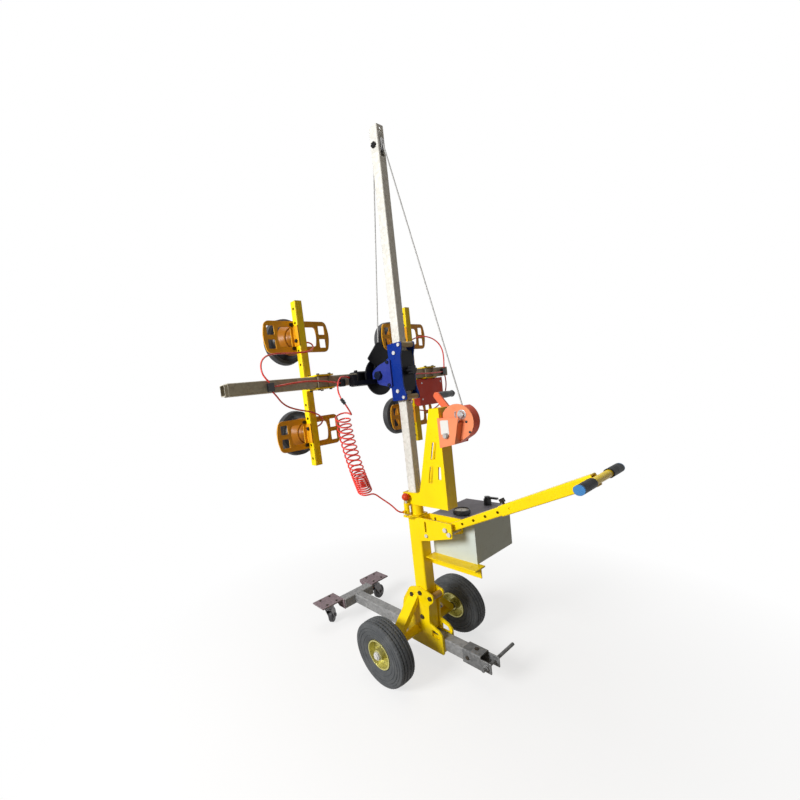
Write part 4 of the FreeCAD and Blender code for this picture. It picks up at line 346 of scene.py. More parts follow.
# Paint and metal colours, as screen values
YELLOW = (250, 220, 8)
YELLOW_SHADE = (240, 196, 5)
OCHRE = (232, 166, 22)
OCHRE_SHADE = (206, 138, 14)
# Darker ochre painted on each cup dish's hub: a painted shade from the handle plate in front of it
HUB_SHADE_OCHRE = (160, 100, 10)
ORANGE = (232, 112, 76)
GUARD_RED = (236, 84, 40)
SIDE_BLUE = (46, 60, 146)
CAP_BLUE = (70, 130, 190)
BALL_RED = (204, 64, 22)
# Black of the bolt heads and wing screw, also painted inside the arm tubes as painted shade
BOLT_AND_SHADE_BLACK = (34, 26, 20)
PIN_BLACK = (34, 34, 34)
CLEVIS_BLACK = (18, 26, 48)
DISH_BLACK = (13, 13, 15)
SHANK_GREY = (150, 145, 130)
AXLE_GREY = (214, 214, 212)
PAD_GREY = (206, 208, 212)
STUD_GREY = (206, 206, 206)
ZINC_GREY = (190, 190, 190)
STEEL_GREY = (186, 186, 184)


def beyond(letter, limit, colour, both=True):
    """A second colour on the part of a piece that lies beyond a limit on one axis."""
    def split(n, base):
        along = n.axis(letter)
        if both:
            along = n.maths("ABSOLUTE", along)
        return n.mix(n.above(along, limit), base, linear(colour))
    return split


def dark_bolts_and_hub_shade(arm):
    """Dark bolt heads behind a handle plate, and a dish that is black outside its hub, the hub painted a
    darker ochre as a painted shade from the plate.
    """
    def split(n, base):
        y = n.axis("Y")
        across = n.maths("SUBTRACT", n.axis("X"), arm)
        aside = n.above(n.maths("ABSOLUTE", across), PLATE_BOLTS_OUT)
        heads = n.times(n.maths("LESS_THAN", y, PLATE_REAR), aside)
        body = n.mix(heads, base, linear(BOLT_AND_SHADE_BLACK))
        level = n.maths("ABSOLUTE", n.maths("SUBTRACT", n.axis("Z"), HEAD_Z))
        up = n.maths("SUBTRACT", level, CUP_OFFSET)
        reach = n.maths("ADD", n.times(across, across), n.times(up, up))
        # Past DISH_REAR the dish is black outside HUB_REACH; inside it the hub is painted a darker ochre as
        # painted shade
        dish = n.above(y, DISH_REAR)
        rim = n.times(n.above(reach, HUB_REACH ** 2), dish)
        return n.mix(rim, n.mix(dish, body, linear(HUB_SHADE_OCHRE)), linear(DISH_BLACK))
    return split


def clamp_bolts_and_tube_shade(arm):
    """Grey shanks and dark heads at the clamp on the beam, and the inside of the tube painted near black as
    a painted shade.
    """
    def split(n, base):
        up = n.maths("ABSOLUTE", n.maths("SUBTRACT", n.axis("Z"), HEAD_Z))
        y = n.axis("Y")
        behind = n.maths("LESS_THAN", y, CLAMP_FRONT)
        shanks = n.times(behind, n.maths("LESS_THAN", up, CLAMP_SHANKS_END))
        heads = n.times(behind, n.above(up, CLAMP_HEADS_START))
        across = n.maths("ABSOLUTE", n.maths("SUBTRACT", n.axis("X"), arm))
        deep = n.maths("ABSOLUTE", n.maths("SUBTRACT", y, ARM_Y))
        # Inside the tube walls the colour is set near black: a painted shade
        tube_inside_shade = n.maths("LESS_THAN", n.maths("MAXIMUM", across, deep), ARM_INSIDE)
        body = n.mix(shanks, base, linear(SHANK_GREY))
        return n.mix(n.maths("MAXIMUM", heads, tube_inside_shade), body, linear(BOLT_AND_SHADE_BLACK))
    return split


def wing_screw(n, base):
    """The black wing screw on top of the sloping drawbar tube."""
    level = n.maths("ADD", n.times(n.axis("Y"), math.sin(BAR_RISE)),
                    n.times(n.axis("Z"), math.cos(BAR_RISE)))
    axis = BAR_PIVOT[0] * math.sin(BAR_RISE) + BAR_PIVOT[1] * math.cos(BAR_RISE)
    return n.mix(n.above(level, axis + BAR_HALF), base, linear(BOLT_AND_SHADE_BLACK))


def axle_nuts(n, base):
    """Bright axles, axle nuts and drawbar bolts among the dark bolts."""
    out = n.maths("ABSOLUTE", n.axis("X"))
    behind = n.maths("LESS_THAN", n.axis("Y"), AXLES_FRONT)
    axle = n.times(n.above(out, AXLE_START), behind)
    bright = n.maths("MAXIMUM", axle, n.above(n.axis("Z"), DRAWBAR_BOLTS_LOW))
    return n.mix(bright, base, linear(AXLE_GREY))


def guide_bolts(n, base):
    """Tan rollers between the plates, bright rear bolts and pads, dark bolts at the clevis."""
    outside = n.above(n.maths("ABSOLUTE", n.axis("X")), GUIDE_PLATE_OUT)
    clevis = n.above(n.axis("Y"), CLEVIS_REAR)
    return n.mix(outside, base, n.mix(clevis, linear(PAD_GREY), linear(CLEVIS_BLACK)))


MATERIALS = {}


def make_materials():
    m = MATERIALS
    m["yellow"] = paint("yellow_paint", YELLOW, YELLOW_SHADE)
    for side, arm in ARMS:
        m["arm_" + side] = paint(side + "_arm_paint", YELLOW, YELLOW_SHADE, split=clamp_bolts_and_tube_shade(arm))
        m["plates_" + side] = paint(side + "_plate_paint", OCHRE, OCHRE_SHADE, split=dark_bolts_and_hub_shade(arm))
    m["sleeve"] = paint("drawbar_paint", YELLOW, YELLOW_SHADE, split=wing_screw)
    m["blue"] = paint("blue_paint", (5, 46, 136), (3, 32, 108), rough=0.3, wear=0.35,
                      split=beyond("X", CARRIAGE_OUT, SIDE_BLUE))
    m["orange"] = paint("orange_paint", (238, 146, 104), (228, 118, 78), rough=0.44, wear=0.3,
                        split=beyond("X", GUARD_SIDE, GUARD_RED, both=False))
    m["red_brown"] = paint("red_brown_paint", (232, 80, 62), (212, 62, 48), rough=0.4, wear=0.3)
    m["black"] = paint("black_paint", (14, 15, 21), (9, 10, 14), rough=0.42, wear=0.3, bare=(70, 68, 66),
                       shine=0.12)
    m["grey"] = paint("grey_paint", (200, 210, 206), (186, 195, 191), rough=0.5, wear=0.15)
    m["lid"] = paint("lid_paint", (126, 124, 132), (108, 106, 114), rough=0.55, wear=0.15)
    m["zinc_tube"] = galvanised("galvanised", (154, 155, 156), (128, 129, 130))
    m["beam"] = galvanised("beam_zinc", (176, 170, 150), (154, 148, 130))
    m["caster_plate"] = galvanised("caster_plate_zinc", (138, 121, 126), (116, 101, 106))
    m["coupler"] = galvanised("coupler_steel", (124, 125, 126), (98, 99, 100))
    m["mast"] = galvanised("bright_galvanised", (222, 221, 215), (204, 203, 196))
    m["zinc"] = plated("zinc", ZINC_GREY)
    m["pins"] = plated("pin_steel", ZINC_GREY, split=beyond("Z", PINS_LOW, PIN_BLACK, both=False))
    m["fork"] = plated("dull_zinc", (112, 110, 112), rough=0.4, metal=0.6)
    m["rim"] = plated("rim_zinc", (206, 200, 128), rough=0.3, metal=0.6)
    m["tyre"] = rubber("tyre_rubber", (66, 69, 72), (112, 114, 114))
    m["cup"] = rubber("cup_rubber", (36, 37, 40), (84, 84, 84), rough=0.62, dusty=0.3)
    m["plastic"] = rubber("black_plastic", (22, 23, 27), (60, 60, 62), rough=0.42, dusty=0.2)
    m["caster"] = rubber("caster_rubber", (38, 38, 42), (96, 94, 96), rough=0.55, dusty=0.3)
    m["hose"] = hose_material()
    m["rope"] = rope_material()
    m["bolts"] = paint("bolt_steel", (62, 54, 44), (44, 38, 32), rough=0.4, wear=0.5, bare=(150, 146, 140),
                       split=axle_nuts)
    m["crank"] = paint("crank_paint", STEEL_GREY, (158, 158, 156), rough=0.32, wear=0.3,
                       split=beyond("X", CRANK_BEND, ORANGE, both=False))
    m["grip"] = paint("grip_rubber", (15, 16, 19), (10, 11, 13), rough=0.5, wear=0.0,
                      split=beyond("X", GRIP_CAPS, CAP_BLUE), shine=0.12)
    m["plunger"] = paint("plunger", STEEL_GREY, (160, 160, 158), rough=0.26, wear=0.0,
                         split=beyond("Z", PLUNGER_BALL, BALL_RED, both=False))
    # Pivot cheeks: yellow on their outer faces; the parts inward of CHEEK_OUT are painted brown-gold, a
    # painted shade between the cheeks and the leg
    m["cheeks"] = paint("cheek_paint_inner_shade", (178, 140, 74), (150, 112, 56), split=beyond("X", CHEEK_OUT, YELLOW))
    m["guides"] = paint("guide_steel", (184, 164, 122), (158, 138, 100), rough=0.3, wear=0.0,
                        split=guide_bolts)
    m["knob"] = paint("knob_plastic", (20, 21, 25), (12, 13, 16), rough=0.4, wear=0.0,
                      split=beyond("Y", KNOB_FRONT, STUD_GREY, both=False))
    m["label"] = paint("label_sheet", (222, 222, 218), (212, 211, 207), rough=0.3, wear=0.1)
    m["dial"] = paint("dial_sheet", (226, 226, 220), (208, 208, 200), rough=0.35, wear=0.0)


MATERIAL_NODES = {
    "zinc_tube": "leg_frame",
    "caster_plate": "caster_brackets",
    "yellow": "base_channel axle_supports lower_post box_shelf drawbar_bracket drawbar_bar swivel_foot "
              "winch_tower",
    "cheeks": "pivot_cheeks",
    "coupler": "rear_coupler",
    "bolts": "frame_fasteners",
    "grey": "vacuum_box",
    "lid": "box_lid",
    "plastic": "battery vacuum_gauge valve_lever crank_grip hose_fittings",
    "zinc": "vacuum_pump winch_drum mast_sheave",
    "tyre": "tyre_left tyre_right",
    "rim": "rim_left rim_right",
    "fork": "caster_fork_left caster_fork_right",
    "caster": "caster_wheel_left caster_wheel_right",
    "sleeve": "drawbar_sleeve",
    "grip": "handle_grips",
    "mast": "mast_tube",
    "orange": "winch_frame",
    "pins": "mast_fasteners",
    "plunger": "lock_plunger",
    "crank": "winch_crank",
    "blue": "carriage_plates",
    "guides": "carriage_guides",
    "black": "carriage_brackets tilt_yoke beam_sleeve",
    "knob": "lock_knob",
    "beam": "beam_tube beam_extension",
    "red_brown": "valve_box",
    "arm_left": "suction_arm_left",
    "arm_right": "suction_arm_right",
    "plates_left": "cup_plates_left",
    "plates_right": "cup_plates_right",
    "cup": "cup_rubbers_left cup_rubbers_right",
    "rope": "rope_rear_fall rope_front_fall rope_winding",
    "hose": "vacuum_hoses hose_lead hose_coil hose_tail",
}


def dress_nodes():
    for key, names in MATERIAL_NODES.items():
        for name in names.split():
            data = NODES[name].data
            data.materials.clear()
            data.materials.append(MATERIALS[key])


# Cords: the routes are control points of one smooth spline

HOSE_RADIUS = 0.0032
HOSE_SMOOTH = 8
HANDLE_FRONT = 0.272
FITTING_ASIDE = 0.041
FITTING_LENGTH = 0.008
FITTING_BELOW = 0.02
END_GAP = 0.0016


def cup_fitting(x, side):
    """The hose's end at the fitting of an arm's upper (1) or lower (-1) cup."""
    return (x + FITTING_ASIDE, HANDLE_FRONT + FITTING_LENGTH - END_GAP,
            HEAD_Z + side * (CUP_OFFSET - FITTING_BELOW))


LEFT_UPPER = [(-0.531, 0.148, 1.2496), (-0.549, 0.152, 1.27), (-0.552, 0.16, 1.298), (-0.543, 0.17, 1.324),
              (-0.521, 0.182, 1.344), (-0.49, 0.196, 1.355), (-0.452, 0.208, 1.361), (-0.405, 0.217, 1.363),
              (-0.352, 0.221, 1.363), (-0.305, 0.222, 1.366), (-0.27, 0.226, 1.374), (-0.25, 0.24, 1.394),
              (-0.257, 0.258, 1.412), cup_fitting(ARM_LEFT, 1)]
LEFT_LOWER = [(-0.524, 0.148, 1.2144), (-0.508, 0.153, 1.2), (-0.489, 0.162, 1.178), (-0.46, 0.174, 1.159),
              (-0.424, 0.186, 1.146), (-0.382, 0.2, 1.136), (-0.34, 0.214, 1.128), (-0.302, 0.222, 1.118),
              (-0.27, 0.228, 1.102), (-0.25, 0.24, 1.08), (-0.257, 0.258, 1.06), cup_fitting(ARM_LEFT, -1)]
RIGHT_UPPER = [(0.485, 0.148, 1.2506), (0.494, 0.152, 1.276), (0.505, 0.158, 1.308), (0.515, 0.168, 1.344),
               (0.512, 0.182, 1.38), (0.49, 0.196, 1.407), (0.458, 0.208, 1.422), (0.428, 0.22, 1.427),
               (0.404, 0.236, 1.424), (0.392, 0.257, 1.418), cup_fitting(ARM_RIGHT, 1)]
RIGHT_LOWER = [(0.485, 0.148, 1.2172), (0.496, 0.152, 1.194), (0.506, 0.16, 1.162), (0.508, 0.172, 1.124),
               (0.498, 0.186, 1.088), (0.474, 0.2, 1.06), (0.444, 0.216, 1.046), (0.414, 0.234, 1.045),
               (0.395, 0.256, 1.052), cup_fitting(ARM_RIGHT, -1)]
BEAM_LEFT_RUN = [(-0.5162, 0.148, 1.233), (-0.478, 0.1445, 1.236), (-0.43, 0.1425, 1.24),
                 (-0.38, 0.1425, 1.242), (-0.33, 0.1425, 1.24), (-0.282, 0.1425, 1.235),
                 (-0.238, 0.1405, 1.228), (-0.208, 0.147, 1.224)]
BEAM_RIGHT_RUN = [(0.4662, 0.148, 1.233), (0.44, 0.141, 1.231), (0.386, 0.142, 1.23),
                  (0.338, 0.1425, 1.231), (0.29, 0.1425, 1.233), (0.242, 0.142, 1.234),
                  (0.208, 0.1455, 1.233), (0.176, 0.1485, 1.231)]
LEAD = [(-0.1776, 0.122, 1.24), (-0.204, 0.121, 1.248), (-0.229, 0.118, 1.244), (-0.249, 0.11, 1.227),
        (-0.267, 0.095, 1.205), (-0.28, 0.079, 1.182), (-0.28, 0.067, 1.159)]
CONNECTOR_END = (-0.268, 0.062, 1.138)
COUPLING_GAP = 0.0003
TAIL_POINTS = [(-0.152, 0.048, 0.74), (-0.114, 0.03, 0.703), (-0.092, 0.016, 0.668), (-0.0686, 0.014, 0.664)]

# Coiled hose
COIL_RADIUS = 0.028
COIL_TURNS = 19.75
COIL_TOP = (-0.254, 0.104, 1.095)
COIL_FOOT = (-0.194, 0.092, 0.775)
COIL_OPEN_PITCH = 0.022
COIL_TIGHT_PITCH = 0.0089
COIL_OPEN_TURNS = 11.0
COIL_CHANGE = 1.5
COIL_BEND = 1.7
COIL_TURN_START = math.radians(-20.0)
COIL_LEAN = 0.011
COIL_LEAN_WAY = math.radians(230.0)
COIL_APPROACH = 0.038
TAIL_APPROACH = 0.02
COIL_SMOOTH = 4
POINTS_A_TURN = 12

# Places between which a hose's motion would pass from one body to the next; they are passed to the hoses but
# not used
COIL_STILL = (-0.19, 0.09, 0.772)
COIL_CARRIED = (-0.25, 0.1, 1.13)
ARM_HOSE_Y = 0.2
LEFT_CARRIED = -0.26
RIGHT_CARRIED = 0.40


def coil_drop(turn):
    """How far the coil has come down after some turns, its pitch passing from open to tight."""
    middle = (COIL_OPEN_PITCH + COIL_TIGHT_PITCH) / 2
    swing = (COIL_OPEN_PITCH - COIL_TIGHT_PITCH) / 2
    now = math.log(math.cosh((turn - COIL_OPEN_TURNS) / COIL_CHANGE))
    first = math.log(math.cosh(COIL_OPEN_TURNS / COIL_CHANGE))
    return middle * turn - swing * COIL_CHANGE * (now - first)


def coil_place(turn, radius):
    """A point of the leaning, bent coil."""
    share = coil_drop(turn) / (COIL_TOP[2] - COIL_FOOT[2])
    lean = math.copysign(abs(share) ** COIL_BEND, share)
    x = COIL_TOP[0] + (COIL_FOOT[0] - COIL_TOP[0]) * lean
    y = COIL_TOP[1] + (COIL_FOOT[1] - COIL_TOP[1]) * share
    angle = COIL_TURN_START + 2 * math.pi * turn
    z = COIL_TOP[2] - coil_drop(turn) - COIL_LEAN * math.cos(angle - COIL_LEAN_WAY)
    return Vector((x + radius * math.cos(angle), y + radius * math.sin(angle), z))


def coil_way(turn):
    """The coil's direction at a turn."""
    step = 1e-4
    return (coil_place(turn + step, COIL_RADIUS) - coil_place(turn - step, COIL_RADIUS)).normalized()


def coil_route():
    """Coupling, neck, turns and tail as one route."""
    lead = 2 * HOSE_RADIUS
    start = coil_place(0, COIL_RADIUS) - coil_way(0) * lead
    end = coil_place(COIL_TURNS, COIL_RADIUS) + coil_way(COIL_TURNS) * lead
    route = [Vector(CONNECTOR_END), start - coil_way(0) * COIL_APPROACH]
    outer = COIL_RADIUS / math.cos(math.pi / POINTS_A_TURN)
    for index in range(int(COIL_TURNS * POINTS_A_TURN) + 1):
        route.append(coil_place(index / POINTS_A_TURN, outer))
    route.append(end + coil_way(COIL_TURNS) * TAIL_APPROACH)
    route.extend(Vector(p) for p in TAIL_POINTS)
    return route


def spline(name, route, radius, resolution=HOSE_SMOOTH):
    """A NURBS curve with the route's points as its control points."""
    data = bpy.data.curves.new(name, "CURVE")
    data.dimensions = "3D"
    line = data.splines.new("NURBS")
    line.points.add(len(route) - 1)
    for control, place in zip(line.points, route):
        control.co = (*place, 1.0)
    line.order_u = 3
    line.use_endpoint_u = True
    line.resolution_u = resolution
    data.resolution_u = resolution
    data.bevel_depth = radius
    data.bevel_resolution = 3
    data.use_fill_caps = True
    return place_object(name, data)


def mesh_in_place(curve):
    """The curve's mesh. The curve itself is removed."""
    bpy.context.view_layer.update()
    mesh = bpy.data.meshes.new_from_object(curve)
    data = curve.data
    bpy.data.objects.remove(curve)
    bpy.data.curves.remove(data)
    return mesh


def line_points(route, resolution=HOSE_SMOOTH):
    """Points read from the route's spline."""
    mesh = mesh_in_place(spline("route", route, 0.0, resolution))
    points = [v.co.copy() for v in mesh.vertices]
    bpy.data.meshes.remove(mesh)
    return points


def length_of(points):
    return sum((b - a).length for a, b in zip(points, points[1:]))


def evenly(points, step):
    """The same line with points about a step apart."""
    count = max(2, round(length_of(points) / step))
    spacing = length_of(points) / count
    result = [points[0].copy()]
    walked = 0.0
    target = spacing
    for a, b in zip(points, points[1:]):
        run = (b - a).length
        while run > 0 and target <= walked + run + 1e-9 and len(result) < count:
            result.append(a.lerp(b, (target - walked) / run))
            target += spacing
        walked += run
    result.append(points[-1].copy())
    return result


def as_mesh(curve, name):
    """The curve's tube as a mesh object, in place of the curve."""
    mesh = mesh_in_place(curve)
    mesh.name = name
    for face in mesh.polygons:
        face.use_smooth = True
    return place_object(name, mesh)


def finish_piece(piece, material):
    piece.data.materials.clear()
    piece.data.materials.append(MATERIALS[material])
    return piece


def hose_on_body(name, route, body, node, far_end="object", **facts):
    """A hose whose two ends are on one body."""
    piece = finish_piece(spline(name, route, HOSE_RADIUS), "hose")
    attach(piece, body)
    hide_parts(node)
    length_of(line_points(route))


def hose_between(name, route, bodies, start, end, nodes, resolution=HOSE_SMOOTH, **facts):
    """A hose running from one body to another, made as a mesh in place and attached to neither body."""
    points = line_points(route, resolution)
    piece = as_mesh(spline(name, route, HOSE_RADIUS, resolution), name)
    finish_piece(piece, "hose")
    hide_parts(*nodes)
    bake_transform(piece)


def as_object(name, mesh, sharp=35.0):
    """A smooth-shaded object from a bmesh, with its sharp edges kept."""
    bmesh.ops.recalc_face_normals(mesh, faces=mesh.faces)
    data = bpy.data.meshes.new(name)
    mesh.to_mesh(data)
    mesh.free()
    for face in data.polygons:
        face.use_smooth = True
    data.set_sharp_from_angle(angle=math.radians(sharp))
    return place_object(name, data)


def skin(mesh, rings, closed):
    """Faces between neighbouring rings, which close on themselves or have a cap at each end."""
    following = rings[1:] + rings[:1] if closed else rings[1:]
    for first, second in zip(rings, following):
        for index in range(len(first)):
            after = (index + 1) % len(first)
            mesh.faces.new((first[index], first[after], second[after], second[index]))
    if not closed:
        mesh.faces.new(list(reversed(rings[0])))
        mesh.faces.new(rings[-1])


def lathe(name, profile, start, along, sides=32, ring=False):
    """A mesh turned round an axis from pairs of distance and radius, as a solid or a closed ring."""
    along = Vector(along).normalized()
    side = along.orthogonal().normalized()
    other = along.cross(side)
    mesh = bmesh.new()
    rows = []
    for distance, radius in profile:
        row = []
        for index in range(sides):
            angle = 2 * math.pi * index / sides
            out = side * math.cos(angle) + other * math.sin(angle)
            row.append(mesh.verts.new(Vector(start) + along * distance + out * radius))
        rows.append(row)
    skin(mesh, rows, ring)
    return as_object(name, mesh)


def make_coupling():
    """The coupling between the lead and the coil."""
    start = Vector(LEAD[-1])
    along = Vector(CONNECTOR_END) - start
    length = along.length - 2 * COUPLING_GAP
    profile = [(COUPLING_GAP, 0.0035), (COUPLING_GAP, 0.0062), (0.006, 0.0068), (0.0065, 0.0055),
               (0.0085, 0.0055), (0.009, 0.0072), (length - 0.009, 0.0072), (length - 0.0085, 0.0055),
               (length - 0.0065, 0.0055), (length - 0.006, 0.0066), (length, 0.006), (length, 0.0034)]
    coupling = finish_piece(lathe("hose_coupling", profile, start, along), "plastic")
    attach(coupling, "carriage")
    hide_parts("hose_lead")
    return coupling


def make_hoses():
    coupling = make_coupling()
    hose_on_body("hose_lead_run", LEAD, "carriage", "hose_lead", far_end="connector", lay="hanging",
                 with_pieces=[coupling])
    hose_between("hose_coil_run", coil_route(), ("mast", "carriage"), COIL_STILL, COIL_CARRIED,
                 ("hose_coil", "hose_tail"), COIL_SMOOTH, lay="coiled")
    for name, route, arm, carried in (("hose_left_upper", LEFT_UPPER, "arm_left", LEFT_CARRIED),
                                      ("hose_left_lower", LEFT_LOWER, "arm_left", LEFT_CARRIED),
                                      ("hose_right_upper", RIGHT_UPPER, "arm_right", RIGHT_CARRIED),
                                      ("hose_right_lower", RIGHT_LOWER, "arm_right", RIGHT_CARRIED)):
        start = (route[0][0], ARM_HOSE_Y, HEAD_Z)
        end = (carried, ARM_HOSE_Y, HEAD_Z)
        hose_between(name, route, ("head", arm), start, end, ("vacuum_hoses",), lay="loose")
    hose_on_body("hose_beam_left", BEAM_LEFT_RUN, "head", "vacuum_hoses", lay="loose")
    hose_on_body("hose_beam_right", BEAM_RIGHT_RUN, "head", "vacuum_hoses", lay="loose")


# Hoist rope, laid from twisted strands

ROPE_RADIUS = 0.0025
SHEAVE_Z = 2.097
SHEAVE_RADIUS = 0.025
DRUM_Y = -0.236
DRUM_Z = 1.022
WIND_RADIUS = 0.032
WIND_TURNS = 3
WIND_PITCH = 0.0056
TONGUE = Vector((0.0, 0.115, 1.3783))
ROPE_OFF_DRUM = 0.0053
ROPE_STRAIGHT_END = 0.03
SHEAVE_STEPS = 6
WIND_SMOOTH = 4
STRANDS = 6
STRAND_VALLEY = 0.88
STRAND_CREST = 0.12
LAY_LENGTH = 0.03
ROPE_STEP = 0.004


def swept_tube(name, path, sides, radius_at):
    """A closed tube along a path, its radius given by the step along it and the angle round it."""
    mesh = bmesh.new()
    rings = []
    side = None
    for index, place in enumerate(path):
        ahead = path[min(index + 1, len(path) - 1)] - path[max(index - 1, 0)]
        ahead.normalize()
        side = ahead.orthogonal() if side is None else side - ahead * side.dot(ahead)
        side.normalize()
        other = ahead.cross(side)
        ring = []
        for corner in range(sides):
            angle = 2 * math.pi * corner / sides
            radius = radius_at(index, angle)
            across = side * radius * math.cos(angle)
            ring.append(mesh.verts.new(place + across + other * radius * math.sin(angle)))
        rings.append(ring)
    skin(mesh, rings, False)
    return as_object(name, mesh)


def laid_rope(name, points):
    """A rope's mesh: strands twisted round the line."""
    path = evenly(points, ROPE_STEP)

    def strand(index, angle):
        twist = 2 * math.pi * index * ROPE_STEP / LAY_LENGTH
        lobe = abs(math.cos(STRANDS * (angle - twist) / 2))
        return ROPE_RADIUS * (STRAND_VALLEY + STRAND_CREST * lobe)

    piece = swept_tube(name, path, 4 * STRANDS, strand)
    return finish_piece(piece, "rope"), path


def around(centre, radius, angle):
    """A point round the X axis, its angle taken from +Y towards +Z."""
    return Vector((0.0, centre[0] + radius * math.cos(angle), centre[1] + radius * math.sin(angle)))


def make_rope():
    """The rope from the drum over the sheave to the carriage, and its turns on the drum."""
    run = math.hypot(DRUM_Y, DRUM_Z - SHEAVE_Z)
    lean = math.atan2(DRUM_Z - SHEAVE_Z, DRUM_Y)
    out = lean - math.acos((SHEAVE_RADIUS - WIND_RADIUS) / run)
    low = around((DRUM_Y, DRUM_Z), WIND_RADIUS, out)
    high = around((0.0, SHEAVE_Z), SHEAVE_RADIUS, out)
    fall = TONGUE - Vector((0.0, 0.0, SHEAVE_Z))
    front = math.atan2(fall.z, fall.y) + math.acos(SHEAVE_RADIUS / fall.length)
    leave = around((0.0, SHEAVE_Z), SHEAVE_RADIUS, front)
    begin = out % (2 * math.pi)
    step = (begin - front) / SHEAVE_STEPS
    outer = SHEAVE_RADIUS / math.cos(step / 2)
    over = [around((0.0, SHEAVE_Z), outer, begin - step * (index + 0.5)) for index in range(SHEAVE_STEPS)]
    way = (high - low).normalized()
    route = [low + way * ROPE_OFF_DRUM, high - way * ROPE_STRAIGHT_END, high, *over, leave]
    rear, path = laid_rope("rope_rear", line_points(route))
    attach(rear, "mast")
    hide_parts("rope_rear_fall")
    fore, path = laid_rope("rope_front", line_points([leave, leave.lerp(TONGUE, 0.5), TONGUE]))
    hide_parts("rope_front_fall")
    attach(fore, "mast")
    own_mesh(fore)
    outer = WIND_RADIUS / math.cos(math.pi / POINTS_A_TURN)
    route = []
    for index in range(WIND_TURNS * POINTS_A_TURN + 1):
        turn = index / POINTS_A_TURN
        place = around((DRUM_Y, DRUM_Z), outer, out + 2 * math.pi * (WIND_TURNS - turn))
        place.x = WIND_PITCH * (WIND_TURNS - turn)
        route.append(place)
    wound, path = laid_rope("rope_wound", line_points(route, WIND_SMOOTH))
    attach(wound, "drum")
    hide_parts("rope_winding")


# Tyres with ribbed tread

TYRE_RADIUS = 0.130
HALF_TRACK = 0.245
AXLE_Y = 0.035
TREAD_HALF = 0.034
TREAD_DROP = 0.0034
GROOVES = (-0.0232, -0.0092, 0.0092, 0.0232)
GROOVE_HALF = 0.0018
GROOVE_DEPTH = 0.0045
GROOVE_TAPER = 0.0004
SIPE_DEPTH = 0.003
SIPE_WIDTH = 0.0032
SIPE_EVERY = 3
TYRE_SIDES = 192
TYRE_SHARP = 28.0
SIDEWALL = [(0.028, 0.0583), (0.0315, 0.06), (0.035, 0.065), (0.0376, 0.0715), (0.0388, 0.076),
            (0.0376, 0.0772), (0.0376, 0.0786), (0.0398, 0.08), (0.041, 0.086), (0.0415, 0.092),
            (0.0396, 0.0932), (0.0396, 0.0956), (0.0418, 0.0968), (0.0418, 0.102), (0.0416, 0.104),
            (0.0392, 0.1052), (0.0392, 0.1074), (0.0408, 0.1086), (0.0402, 0.114), (0.038, 0.1152),
            (0.0378, 0.118), (0.037, 0.122), (0.0356, 0.125)]


def crown(x):
    """The tread's radius at a place across it."""
    return TYRE_RADIUS - TREAD_DROP * (x / TREAD_HALF) ** 2


def tyre_profile():
    """Points from the inner bead over the tread to the outer bead: place, radius and sipe depth."""
    points = [(-x, radius, 0.0) for x, radius in SIDEWALL]
    points.append((-TREAD_HALF, crown(TREAD_HALF), SIPE_DEPTH))
    points.append((-TREAD_HALF + SIPE_WIDTH, crown(TREAD_HALF - SIPE_WIDTH), 0.0))
    for centre in GROOVES:
        low = centre - GROOVE_HALF
        high = centre + GROOVE_HALF
        points.append((low - SIPE_WIDTH, crown(low), 0.0))
        points.append((low, crown(low), SIPE_DEPTH))
        points.append((low + GROOVE_TAPER, crown(centre) - GROOVE_DEPTH, 0.0))
        points.append((high - GROOVE_TAPER, crown(centre) - GROOVE_DEPTH, 0.0))
        points.append((high, crown(high), SIPE_DEPTH))
        points.append((high + SIPE_WIDTH, crown(high), 0.0))
    points.append((TREAD_HALF - SIPE_WIDTH, crown(TREAD_HALF - SIPE_WIDTH), 0.0))
    points.append((TREAD_HALF, crown(TREAD_HALF), SIPE_DEPTH))
    points.extend((x, radius, 0.0) for x, radius in reversed(SIDEWALL))
    return points


def make_tyre(side, name):
    """A tyre with grooves round its tread, notched rib edges and stepped sidewalls."""
    mesh = bmesh.new()
    rings = []
    for x, radius, sipe in tyre_profile():
        ring = []
        for index in range(TYRE_SIDES):
            angle = 2 * math.pi * index / TYRE_SIDES
            reach = radius - (sipe if index % SIPE_EVERY == 0 else 0.0)
            y = AXLE_Y + reach * math.cos(angle)
            z = TYRE_RADIUS + reach * math.sin(angle)
            ring.append(mesh.verts.new((side * HALF_TRACK + x, y, z)))
        rings.append(ring)
    skin(mesh, rings, True)
    piece = finish_piece(as_object("tread_" + name, mesh, TYRE_SHARP), "tyre")
    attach(piece, "wheel_" + name)
    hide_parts("tyre_" + name)


# Small fittings

CORNER_STEPS = 4


def rounded_sheet(name, centre, across, up, size, thickness, corner):
    """A thin sheet with rounded corners, standing out along across x up."""
    across = Vector(across)
    up = Vector(up)
    out = across.cross(up).normalized()
    width, height = size
    mesh = bmesh.new()
    edge = []
    for quarter, (sx, sy) in enumerate(((1, 1), (-1, 1), (-1, -1), (1, -1))):
        for step in range(CORNER_STEPS + 1):
            angle = math.pi / 2 * (quarter + step / CORNER_STEPS)
            x = sx * (width / 2 - corner) + corner * math.cos(angle)
            y = sy * (height / 2 - corner) + corner * math.sin(angle)
            edge.append(Vector(centre) + across * x + up * y)
    low = [mesh.verts.new(place) for place in edge]
    high = [mesh.verts.new(place + out * thickness) for place in edge]
    mesh.faces.new(list(reversed(low)))
    mesh.faces.new(high)
    for index in range(len(edge)):
        after = (index + 1) % len(edge)
        mesh.faces.new((low[index], low[after], high[after], high[index]))
    return as_object(name, mesh)


